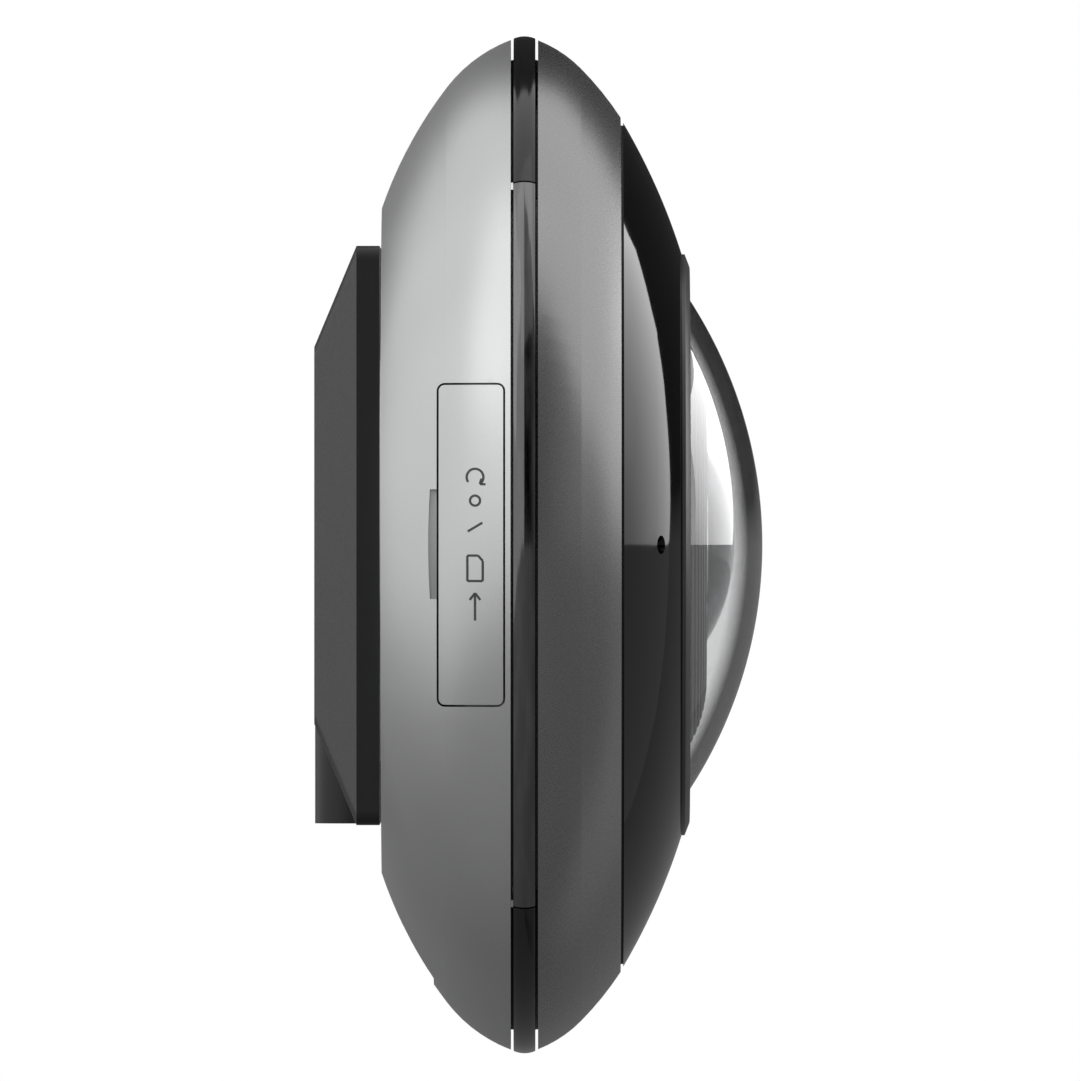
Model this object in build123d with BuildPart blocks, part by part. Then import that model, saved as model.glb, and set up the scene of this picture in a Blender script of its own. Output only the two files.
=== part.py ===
from build123d import *
import os
from math import cos, radians, sin, sqrt

os.makedirs("parts", exist_ok=True)

# A wall-mounted fisheye camera. X is the optical axis and points out of the wall,
# Z is up, and the origin is where the axis meets the wall. Sizes are millimetres.

# Outline of the casing. A step is how far a place lies in front of the one before,
# and a drop is how far it lies below the crown of the trim.
trim_radius = 77.0
casing_gap = 0.17
back_edge_drop = 26.0
rear_shoulder_step = 9.83
rear_shoulder_drop = 7.73
rear_rim_step = 9.7
rear_rim_drop = 0.55
rear_rim_arc = 21.9
trim_width = 4.1
front_rim_drop = 0.6
front_shoulder_step = 6.5
front_shoulder_drop = 4.87
front_edge_step = 6.0
front_edge_drop = 12.3
front_rim_arc = 18.75
rear_wall = 2.4
bezel_wall = 2.2

# Wall bracket
bracket_size = 87.0
bracket_rise = 1.4
bracket_depth = 9.9
slab_thickness = 3.46
back_draw_in = 15.1
bracket_corner = 2.0
recess_wall = 4.1
tab_reach = 5.0
tab_thickness = 2.0
tab_angle = 20.0
tab_root = 1.5
cable_hole_radius = 17.0
hub_width = 26.0
hub_height = 18.0
hub_rounding = 5.0
cable_channel_width = 13.0
wall_screw_circle = 60.0
wall_screw_radius = 2.3
wall_screw_head_radius = 4.5

# Bayonet
bayonet_count = 4
neck_wall = 6.7
bayonet_gap = 0.3
lug_thickness = 2.4
lug_clearance = 0.8
lug_angle = 18.0
stop_angle = 2.0
stop_gap_angle = 0.6
bayonet_screw_radius = 1.25
bayonet_screw_head = 2.4
bayonet_screw_head_height = 1.3
bayonet_screw_length = 9.5
bayonet_boss_radius = 3.2
bayonet_boss_height = 4.5

# General fits
thread_gap = 0.05
screw_end_gap = 0.3
root_depth = 0.5
slip_gap = 0.15
glue_gap = 0.1

# Rear housing
lip_thickness = 2.4
lip_overlap = 0.6
post_inset = 6.0
post_radius = 4.2
housing_screw_radius = 1.45
housing_screw_head = 2.9
housing_screw_head_height = 2.0
housing_screw_grip = 2.6
post_boss_radius = 3.6
housing_counterbore = 3.9
vent_radius = 4.0
vent_thickness = 0.9
vent_inset = 9.0
vent_depth = 1.2

# Cable exit at the bottom of the rear housing
exit_width = 24.0
exit_depth = 7.87
exit_inset = 1.0
exit_cover_thickness = 1.6
exit_block_margin = 2.0
exit_block_depth = 4.0
exit_slot_width = 10.0
exit_slot_depth = 4.0

# Card door, its finger notch and the bay behind it, on the -Y side
door_step = 8.78
door_rim_gap = 1.1
door_half_height = 23.9
door_corner = 0.9
door_thickness = 2.0
door_gap = 0.3
door_seal_gap = 0.6
door_seal_thickness = 0.35
door_skirt_wall = 1.0
door_skirt_gap = 0.2
door_skirt_lift = 6.9
door_ledge = 1.05
notch_reach = 1.55
notch_top = 8.3
notch_bottom = -8.1
notch_bow = 0.25
notch_depth = 0.25
bay_depth = 21.5
bay_floor_thickness = 1.6
bay_wall = 1.6
bay_rim_step = 0.2

# Main board and what stands on it
board_thickness = 1.6
board_inset = 9.27
board_hole_gap = 0.6
board_notch_gap = 0.5
standoff_radius = 2.6
standoff_height = 4.5
standoff_inset = 10.0
standoff_angle = 22.5
small_screw_radius = 1.0
small_screw_head = 2.2
small_screw_head_height = 1.6
small_screw_grip = 3.5
processor_size = 17.0
processor_height = 1.5
processor_y = 26.0
thermal_pad_thickness = 0.6
thermal_pad_size = 15.0
memory_width = 8.0
memory_length = 11.0
memory_height = 1.1
memory_offset = 17.0
capacitor_radius = 3.2
capacitor_height = 7.8
capacitor_chamfer = 0.5
capacitor_pitch = 9.0
capacitor_lifts = (13.0, 9.0, 7.0)
transformer_width = 12.5
transformer_length = 9.0
transformer_height = 5.0
transformer_z = -11.0
inductor_size = 7.0
inductor_height = 4.0
inductor_corner = 1.0
inductor_y = 16.0
inductor_z = -30.0

# Network socket
socket_width = 16.0
socket_height = 13.5
socket_z = 6.0
socket_setback = 0.33
socket_cavity_width = 11.8
socket_cavity_height = 7.0
socket_cavity_depth = 12.0
latch_width = 6.2
latch_step = 1.8
contact_count = 8
contact_pitch = 1.02
contact_width = 0.4
contact_thickness = 0.35
contact_length = 9.0

# Memory card, its socket and the reset button
card_width = 11.0
card_length = 15.0
card_thickness = 0.7
card_grip = 1.0
card_grip_length = 1.4
card_z = -5.0
card_lift = 2.1
card_socket_wall = 0.4
card_socket_setback = 0.7
card_gap = 0.1
card_slot_gap = 0.3
card_push = 0.7
card_corner = 1.0
reset_height = 2.9
reset_z = 9.0
reset_radius = 1.5
reset_flange_radius = 2.4
reset_flange_thickness = 0.8
reset_flange_gap = 0.2
reset_lift = 2.1
reset_travel = 0.5
reset_reach = 1.5
reset_crown = 0.3
reset_switch_size = 6.0
reset_switch_depth = 3.6
reset_switch_gap = 0.1

# Core frame and the trim between the two casings
core_web_setback = 1.0
core_web_thickness = 1.8
core_rim_wall = 2.0
core_opening = 24.0
gasket_thickness = 0.6
trim_band_height = 3.6
trim_flange_height = 3.4
trim_clearance = 0.1
trim_groove = 0.4
trim_crown = 0.35
trim_joint = 0.25
clip_width = 1.5
clip_height = 2.6
clip_thickness = 0.34

# Front bezel
bezel_lip_width = 4.9
bezel_lip_thickness = 2.2
boss_inset = 4.7
boss_radius = 3.6
boss_angle = 30.0
boss_count = 6
bezel_screw_radius = 1.25
bezel_screw_head = 2.5
bezel_screw_head_height = 1.8
bezel_screw_length = 9.0
frame_screw_length = 6.0

# Dome, its clamp ring and seal
dome_flange_step = 9.0
dome_height = 12.47
dome_wall = 2.5
dome_foot_inset = 4.752
dome_flange_thickness = 2.3
dome_flange_gap = 0.2
dome_seal_thickness = 0.5
clamp_wall = 1.5
clamp_rise = 1.45
clamp_chamfer_width = 2.0
clamp_chamfer_rise = 0.7
clamp_skirt_step = 0.2

# Infrared window
window_width = 20.7
window_gap = 0.4
window_step = 0.8
window_tip_rise = 0.2
window_arc = 95.1
window_wall = 2.2
sound_hole_radius = 1.4
sound_hole_shift = 1.125

# Front frame and light board
frame_setback = 3.0
frame_plate_thickness = 1.8
frame_boss_gap = 0.4
frame_bore = 24.0
collar_wall = 2.0
frame_post_inset = 9.0
frame_post_radius = 3.2
led_board_gap = 0.6
led_board_thickness = 1.6
led_count = 12
led_shift = 1.2
led_radius = 2.5
led_height = 3.2
led_rounding = 2.2
led_angle = 15.0
light_sensor_size = 3.0
light_sensor_height = 1.2
microphone_radius = 2.0
microphone_height = 1.8
boot_radius = 2.9
boot_bore = 0.9
boot_gap = 0.3

# Lens surround inside the dome
surround_bore_gap = 0.2
surround_flat_gap = 2.17
surround_mid_shift = 0.8
surround_mid_gap = 1.04
surround_foot_inset = 2.9
surround_foot_gap = 3.219
surround_wall = 1.2
surround_skirt_gap = 0.5

# Lens
sensor_board_size = 36.0
sensor_boss_height = 0.8
sensor_size = 14.0
sensor_height = 1.6
sensor_screw_inset = 3.0
sensor_boss_radius = 2.6
mount_flange_thickness = 1.6
mount_window = 17.0
mount_half_height = 10.5
mount_gap = 0.4
mount_wall = 1.3
light_path_radius = 5.5
mount_collar_length = 5.0
mount_collar_wall = 2.0
barrel_radius = 9.0
barrel_gap = 0.6
barrel_length = 8.4
head_radius = 16.4
head_back_length = 3.6
head_front_length = 3.8
middle_seat_depth = 2.5
rear_lens_thickness = 2.4
middle_lens_height = 5.1
middle_lens_sag = 1.6
rear_bore = 5.2
middle_bore = 8.2
head_bore = 12.0
retainer_thickness = 1.8
front_lens_rise = 6.1
front_lens_edge_rise = 2.0
front_lens_inset = 2.0
front_lens_hollow = 9.5
front_lens_thickness = 2.0

# Infrared-cut filter changer
filter_glass = 9.4
filter_glass_thickness = 0.5
filter_rail = 1.2
filter_cover = 1.4
filter_frame_thickness = 1.4
filter_frame_height = 12.4
filter_clearance = 0.3
arm_length = 8.0
arm_swing = 40.0
arm_pivot_z = -16.0
arm_thickness = 0.7
arm_gap = 0.15
arm_width = 2.2
arm_hub_radius = 2.2
arm_shaft_radius = 0.75
arm_pin_radius = 0.6
arm_pin_gap = 0.3
arm_shaft_reach = 2.0
filter_tab_thickness = 0.6
filter_tab_half_width = 2.0
slot_edge = 0.6
motor_width = 16.0
motor_height = 9.0
motor_depth = 4.4
motor_corner = 1.0
changer_half_width = 9.5
changer_drop = 5.0

# Ribbon between the main board and the sensor board
ribbon_width = 10.0
ribbon_thickness = 0.25
ribbon_z = 8.0
connector_height = 1.4
connector_width = 12.0
ribbon_tail = 1.5
connector_depth = 4.0


def arc_centre(start, end, radius):
    """Centre of the arc of that radius from start to end, on the side nearer the axis."""
    half_chord = (end - start) / 2
    across = Vector(half_chord.Y, -half_chord.X).normalized()
    if across.Y > 0:
        across = across * -1
    return start + half_chord + across * sqrt(radius**2 - half_chord.length**2)


def tangent_centre(centre, joint, end):
    """Centre of the arc that leaves joint in line with the arc about centre and meets end."""
    inwards = (centre - joint).normalized()
    chord = end - joint
    return joint + inwards * (chord.length**2 / (2 * chord.dot(inwards)))


def radius_at(x, centre, radius):
    """Distance from the axis to an arc about centre, at one place along the axis."""
    return centre.Y + sqrt(radius**2 - (x - centre.X) ** 2)


def radius_across(radial, centre, radius):
    """Place along the axis of an arc about centre, at one distance from the axis."""
    return centre.X + sqrt(radius**2 - (radial - centre.Y) ** 2)


def lens_centre(apex_x, edge):
    """Centre, on the axis, of the sphere through a point on the axis and an edge point."""
    return Vector((apex_x**2 - edge.X**2 - edge.Y**2) / (2 * (apex_x - edge.X)), 0)


def arc_about(centre, start, end):
    """Arc from start to end about centre, the short way round."""
    middle = (start - centre).normalized() + (end - centre).normalized()
    return ThreePointArc(start, centre + middle.normalized() * (start - centre).length, end)


def casing_region(rim, shoulder, edge, rim_arc, inset, edge_inset):
    """Face from the axis out to a casing's surface, moved inwards by inset.

    The surface is two tangent arcs that meet at the shoulder. The end face at the edge
    moves inwards by edge_inset, and the face at the rim stays where it is.
    """
    rim_centre = arc_centre(rim, shoulder, rim_arc)
    edge_centre = tangent_centre(rim_centre, shoulder, edge)
    edge_arc = (shoulder - edge_centre).length - inset
    edge_x = edge.X + edge_inset * (1 if rim.X > edge.X else -1)
    rim_point = Vector(rim.X, radius_at(rim.X, rim_centre, rim_arc - inset))
    joint = rim_centre + (shoulder - rim_centre).normalized() * (rim_arc - inset)
    edge_point = Vector(edge_x, radius_at(edge_x, edge_centre, edge_arc))
    with BuildSketch() as region:
        with BuildLine():
            arc_about(rim_centre, rim_point, joint)
            arc_about(edge_centre, joint, edge_point)
            Polyline(edge_point, (edge_x, 0), (rim.X, 0), rim_point)
        make_face()
    return region.sketch


def rear_region(inset, edge_inset=0.0):
    """Face inside the rear housing's surface, moved inwards by inset."""
    return casing_region(rear_rim, rear_shoulder, back_edge, rear_rim_arc, inset, edge_inset)


def front_region(inset, edge_inset=0.0):
    """Face inside the front bezel's surface, moved inwards by inset."""
    return casing_region(front_rim, front_shoulder, front_edge, front_rim_arc, inset, edge_inset)


def ring_section(start, end, inner, outer):
    """Half the section of a plain ring about the optical axis, for the open sketch."""
    with Locations(((start + end) / 2, (inner + outer) / 2)):
        Rectangle(end - start, outer - inner)


def ring_sector(inner, outer, angle):
    """Sector of a ring of that angle, centred on the sketch's first axis."""
    with BuildSketch() as sector:
        with BuildLine():
            outside = CenterArc((0, 0), outer, -angle / 2, angle)
            inside = CenterArc((0, 0), inner, -angle / 2, angle)
            Line(outside @ 0, inside @ 0)
            Line(outside @ 1, inside @ 1)
        make_face()
    return sector.sketch


# Outline points of the casing, as (x, radius), and the trim between them
back_edge = Vector(bracket_depth + casing_gap, trim_radius - back_edge_drop)
rear_shoulder = Vector(back_edge.X + rear_shoulder_step, trim_radius - rear_shoulder_drop)
rear_rim = Vector(rear_shoulder.X + rear_rim_step, trim_radius - rear_rim_drop)
front_rim = Vector(rear_rim.X + trim_width, trim_radius - front_rim_drop)
front_shoulder = Vector(front_rim.X + front_shoulder_step, trim_radius - front_shoulder_drop)
front_edge = Vector(front_shoulder.X + front_edge_step, trim_radius - front_edge_drop)
back_face = back_edge.X
housing_inside = back_face + rear_wall
rim_face = rear_rim.X
reach = 2 * rear_rim.Y
trim_flange_outer = trim_radius - trim_band_height
trim_flange_inner = trim_flange_outer - trim_flange_height
core_rim_outer = trim_flange_inner - trim_clearance
core_rim_inner = core_rim_outer - core_rim_wall
core_rear = rim_face + gasket_thickness
core_front = front_rim.X - gasket_thickness
core_web_start = rim_face + core_web_setback
core_web_end = core_web_start + core_web_thickness
lip_outer_radius = trim_flange_outer + lip_overlap
lip_inner_radius = core_rim_inner + glue_gap

# Places on the bracket and the bayonet ring
slab_back = bracket_depth - slab_thickness
bracket_bottom = bracket_rise - bracket_size / 2
recess_radius = bracket_size / 2 - bracket_rise - recess_wall
tab_inner_radius = recess_radius - tab_reach
tab_back = bracket_depth - tab_thickness
tab_place = 90.0 / bayonet_count
tab_root_radius = recess_radius + tab_root
stop_place = tab_place + lug_angle / 2 + stop_gap_angle + stop_angle / 2
lug_front = tab_back - bayonet_gap
lug_back = lug_front - lug_thickness
lug_radius = recess_radius - bayonet_gap
bracket_floor = lug_back - lug_clearance
neck_radius = tab_inner_radius - bayonet_gap
bayonet_bore_radius = neck_radius - neck_wall
neck_middle = (bayonet_bore_radius + neck_radius) / 2
bayonet_screw_seat = lug_back + bayonet_screw_head_height
bayonet_screw_tip = bayonet_screw_seat + bayonet_screw_length

# Places in the rear housing
post_circle_radius = back_edge.Y - post_inset
housing_screw_seat = back_face + housing_counterbore
vent_offset = back_edge.Y - vent_inset
exit_block_top = back_edge.Y - exit_block_depth
exit_end = back_face + exit_depth
door_start = back_face + door_step
door_end = rim_face - door_rim_gap
door_middle = (door_start + door_end) / 2
door_length = door_end - door_start
notch_start = door_start - notch_reach
rear_slope_centre = tangent_centre(arc_centre(rear_rim, rear_shoulder, rear_rim_arc), rear_shoulder, back_edge)
rear_slope_arc = (rear_shoulder - rear_slope_centre).length
notch_floor_radius = radius_at(notch_start, rear_slope_centre, rear_slope_arc) - notch_depth
bay_floor_y = trim_radius - bay_depth
bay_inside_y = bay_floor_y - bay_floor_thickness
bay_length = door_length - 2 * door_ledge
bay_half_height = door_half_height - door_ledge
bay_block_end = rim_face - bay_rim_step
bay_block_start = door_start - door_gap - bay_wall
bay_block_half_height = door_half_height + door_gap + bay_wall
door_skirt_y = bay_floor_y + door_skirt_lift
skirt_length = bay_length - 2 * door_skirt_gap
skirt_half_height = bay_half_height - door_skirt_gap

# Places on the main board
board_front = core_web_start - standoff_height
board_rear = board_front - board_thickness
board_radius = rear_shoulder.Y - board_inset
standoff_circle = board_radius - standoff_inset
capacitor_places = [
    ((row - len(capacitor_lifts) + 1) * capacitor_pitch, lift - exit_block_top)
    for row, lift in enumerate(capacitor_lifts)
]
pad_back = board_rear - processor_height - thermal_pad_thickness
socket_front = back_face + socket_setback
card_case_depth = card_thickness + 2 * card_gap + 2 * card_socket_wall
card_case_width = card_width + 2 * card_gap + 2 * card_socket_wall
card_x = board_rear - card_case_depth / 2
card_outer_y = bay_floor_y + card_lift
card_socket_mouth = bay_inside_y - card_socket_setback
card_socket_end = card_outer_y - card_length - card_push - card_slot_gap - card_socket_wall
reset_x = board_rear - reset_height
reset_outer_y = bay_floor_y + reset_lift
reset_inner_y = bay_inside_y - reset_reach
reset_flange_y = bay_inside_y - reset_flange_gap
reset_switch_face = reset_inner_y - reset_travel - reset_switch_gap

# Places in the front half
clamp_radius = front_edge.Y - window_width
boss_circle_radius = front_edge.Y - boss_inset
bezel_lip_inner = front_edge.Y - bezel_lip_width
frame_plate_front = front_edge.X - frame_setback
frame_plate_rear = frame_plate_front - frame_plate_thickness
frame_outer = boss_circle_radius - boss_radius - frame_boss_gap
frame_post_circle = frame_outer - frame_post_inset
led_face = frame_plate_front + led_board_thickness
led_board_inner = clamp_radius + led_board_gap
led_circle = (led_board_inner + frame_outer) / 2 + led_shift

# Places of the dome and its clamp ring
dome_flange_front = front_edge.X + dome_flange_step
dome_foot_radius = clamp_radius - dome_foot_inset
dome_radius = (dome_foot_radius**2 + dome_height**2) / (2 * dome_height)
dome_centre = dome_flange_front + dome_height - dome_radius
dome_middle = Vector(dome_centre, 0)
collar_end = dome_flange_front - dome_flange_thickness - dome_seal_thickness
collar_outer = clamp_radius - clamp_wall - glue_gap
dome_flange_radius = collar_outer - dome_flange_gap
clamp_front = dome_flange_front + clamp_rise
clamp_face_radius = clamp_radius - clamp_chamfer_width
clamp_chamfer_start = dome_flange_front + clamp_chamfer_rise
clamp_skirt_start = front_edge.X + clamp_skirt_step

# Places of the infrared window and the microphone behind it
seat_x = front_edge.X + window_gap
window_outer = front_edge.Y - window_step
window_bore = clamp_radius + slip_gap
window_rim = Vector(seat_x, window_outer)
window_tip = Vector(dome_flange_front + window_tip_rise, window_bore)
window_centre = arc_centre(window_rim, window_tip, window_arc)
sound_hole_offset = (window_bore + window_outer) / 2 - sound_hole_shift
boot_end_radius = sound_hole_offset + boot_radius
boot_end = radius_across(boot_end_radius, window_centre, window_arc - window_wall) - boot_gap

# Places of the lens, from the sensor board to the front lens
sensor_board_rear = core_web_end + sensor_boss_height
sensor_board_front = sensor_board_rear + board_thickness
sensor_screw_place = sensor_board_size / 2 - sensor_screw_inset
mount_flange_front = sensor_board_front + mount_flange_thickness
mount_front = frame_plate_rear - mount_gap
mount_collar_end = mount_front + mount_collar_length
mount_collar_radius = barrel_radius + mount_collar_wall
barrel_start = mount_front + barrel_gap
head_start = barrel_start + barrel_length
head_seat = head_start + head_back_length
head_end = head_seat + head_front_length
middle_seat = head_start - middle_seat_depth
middle_lens_apex = middle_seat + middle_lens_height
front_lens_apex = head_end + front_lens_rise
front_lens_edge = Vector(head_end + front_lens_edge_rise, head_radius - front_lens_inset)
front_lens_inner_apex = front_lens_apex - front_lens_thickness
surround_front = head_end + retainer_thickness
surround_bore = head_radius + surround_bore_gap
surround_skirt = collar_outer - collar_wall - surround_skirt_gap
foot_radius = surround_skirt - surround_foot_inset
dome_inner_radius = dome_radius - dome_wall
surround_flat = radius_at(surround_front + surround_flat_gap, dome_middle, dome_inner_radius)
mid_radius = (surround_flat + foot_radius) / 2 + surround_mid_shift
surround_foot = Vector(
    radius_across(foot_radius, dome_middle, dome_inner_radius) - surround_foot_gap, foot_radius
)
surround_mid = Vector(
    radius_across(mid_radius, dome_middle, dome_inner_radius) - surround_mid_gap, mid_radius
)

# Places of the filter changer
filter_frame_front = mount_front - filter_cover
filter_back = filter_frame_front - filter_frame_thickness
cavity_back = filter_back - filter_clearance
cavity_front = filter_frame_front + filter_clearance / 2
filter_travel = 2 * arm_length * sin(radians(arm_swing))
filter_middle = filter_travel / 2
filter_end = filter_travel + filter_glass / 2 + filter_rail
mount_half_width = sensor_board_size / 2
changer_bottom = arm_pivot_z - changer_drop
arm_back = cavity_back + arm_gap
arm_shaft_end = mount_front + arm_shaft_reach
arm_pin_y = arm_length * sin(radians(arm_swing))
arm_pin_z = arm_pivot_z + arm_length * cos(radians(arm_swing))
slot_half_width = arm_pin_radius + arm_pin_gap
slot_bottom = arm_pin_z - slot_half_width
slot_top = arm_pivot_z + arm_length + slot_half_width
tab_bottom = slot_bottom - slot_edge


def bayonet_screw_places():
    """Four places on the neck of the bayonet ring."""
    return PolarLocations(neck_middle, 4, start_angle=45)


def post_places():
    """The four screw posts of the rear housing."""
    return PolarLocations(post_circle_radius, 4, start_angle=45)


def standoff_places():
    """The four standoffs under the main board."""
    return PolarLocations(standoff_circle, 4, start_angle=standoff_angle)


def boss_places():
    """The screw bosses inside the front bezel."""
    return PolarLocations(boss_circle_radius, boss_count, start_angle=boss_angle)


def frame_post_places():
    """The four posts of the front frame."""
    return PolarLocations(frame_post_circle, 4)


def sensor_screw_places():
    """The four corners of the sensor board."""
    return GridLocations(2 * sensor_screw_place, 2 * sensor_screw_place, 2, 2)


def screw_group(places, seat, length, shank, head, head_height, way=1):
    """Screws at those places, with heads on one side of the seat and shanks on the other."""
    with BuildPart() as group:
        with BuildSketch(Plane.YZ.offset(seat)):
            with places():
                Circle(head)
        extrude(amount=-way * head_height)
        with BuildSketch(Plane.YZ.offset(seat)):
            with places():
                Circle(shank)
        extrude(amount=way * length)
    return group


with BuildPart() as rear_envelope:
    with BuildSketch(Plane.XY):
        add(rear_region(0))
    revolve(axis=Axis.X)

# Wall bracket: a square plate with a sloping back, a cable hub at the bottom and four tabs
with BuildPart() as mount_bracket:
    with BuildSketch(Plane.YZ):
        with Locations((0, bracket_rise)):
            back_size = bracket_size - 2 * back_draw_in
            RectangleRounded(back_size, back_size, bracket_corner)
    with BuildSketch(Plane.YZ.offset(slab_back)):
        with Locations((0, bracket_rise)):
            RectangleRounded(bracket_size, bracket_size, bracket_corner)
    loft()
    with BuildSketch(Plane.YZ.offset(slab_back)):
        with Locations((0, bracket_rise)):
            RectangleRounded(bracket_size, bracket_size, bracket_corner)
    extrude(amount=slab_thickness)
    with BuildSketch(Plane.XY.offset(bracket_bottom)) as hub:
        with Locations((bracket_depth / 2, 0)):
            Rectangle(bracket_depth, hub_width)
        fillet(hub.vertices().group_by(Axis.X)[0], hub_rounding)
    extrude(amount=hub_height)
    with BuildSketch(Plane.YZ.offset(bracket_floor)):
        Circle(recess_radius)
    extrude(amount=bracket_depth, mode=Mode.SUBTRACT)
    with BuildSketch(Plane.YZ.offset(tab_back)):
        with PolarLocations(0, bayonet_count, start_angle=tab_place):
            add(ring_sector(tab_inner_radius, tab_root_radius, tab_angle))
    extrude(amount=tab_thickness)
    with BuildSketch(Plane.YZ.offset(bracket_floor)):
        with PolarLocations(0, bayonet_count, start_angle=stop_place):
            add(ring_sector(neck_radius + bayonet_gap, tab_root_radius, stop_angle))
    extrude(amount=tab_back - bracket_floor)
    with BuildSketch(Plane.YZ):
        Circle(cable_hole_radius)
    extrude(amount=bracket_depth, mode=Mode.SUBTRACT)
    with BuildSketch(Plane.XY.offset(bracket_bottom)):
        with Locations(((bracket_floor + bracket_depth) / 2, 0)):
            Rectangle(bracket_depth - bracket_floor, cable_channel_width)
    extrude(amount=-bracket_bottom - tab_inner_radius, mode=Mode.SUBTRACT)
    with Locations(Plane.YZ.offset(bracket_floor)):
        with PolarLocations(wall_screw_circle / 2, 4, start_angle=45):
            CounterSinkHole(wall_screw_radius, wall_screw_head_radius, depth=2 * bracket_floor)
mount_bracket.part.label = "mount_bracket"
export_step(mount_bracket.part, "parts/mount_bracket.step")

# The door's own block of material and the tools that cut its seat, its bay and its notch
with BuildPart() as bay_block:
    with BuildSketch(Plane.XZ.offset(bay_inside_y)):
        with Locations(((bay_block_start + bay_block_end) / 2, 0)):
            Rectangle(bay_block_end - bay_block_start, 2 * bay_block_half_height)
    extrude(amount=reach)
    add(rear_envelope.part, mode=Mode.INTERSECT)

with BuildPart() as door_seat:
    with BuildSketch(Plane.XZ.offset(bay_floor_y)):
        with Locations((door_middle, 0)):
            seat_length = door_length + 2 * door_gap
            seat_height = 2 * (door_half_height + door_gap)
            RectangleRounded(seat_length, seat_height, door_corner + door_gap)
    extrude(amount=reach)
    with BuildSketch(Plane.XY):
        add(rear_region(door_thickness + door_seal_gap))
    revolve(axis=Axis.X, mode=Mode.SUBTRACT)

with BuildPart() as finger_notch:
    with BuildSketch(Plane.XZ.offset(bay_floor_y)):
        with BuildLine():
            bow = ThreePointArc(
                (notch_start + notch_bow, notch_top),
                (notch_start, (notch_top + notch_bottom) / 2),
                (notch_start + notch_bow, notch_bottom),
            )
            notch_end = door_start + door_corner
            Polyline(bow @ 1, (notch_end, notch_bottom), (notch_end, notch_top), bow @ 0)
        make_face()
    extrude(amount=reach)
    with BuildSketch(Plane.YZ):
        Circle(notch_floor_radius)
    extrude(amount=reach, mode=Mode.SUBTRACT)

# The block behind the cable exit at the bottom, and its recess
with BuildPart() as exit_block:
    with BuildSketch(Plane.XY.offset(-exit_block_top)):
        with Locations(((back_face + exit_end + exit_block_margin) / 2, 0)):
            Rectangle(exit_depth + exit_block_margin, exit_width + 2 * exit_block_margin)
    extrude(amount=-reach)
    add(rear_envelope.part, mode=Mode.INTERSECT)

with BuildPart() as exit_recess:
    with BuildSketch(Plane.XY.offset(-exit_block_top)):
        with Locations((exit_end - exit_depth, 0)):
            Rectangle(2 * exit_depth, exit_width)
    extrude(amount=-reach)
    with BuildSketch(Plane.XY):
        add(rear_region(exit_inset + exit_cover_thickness))
    revolve(axis=Axis.X, mode=Mode.SUBTRACT)

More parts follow.
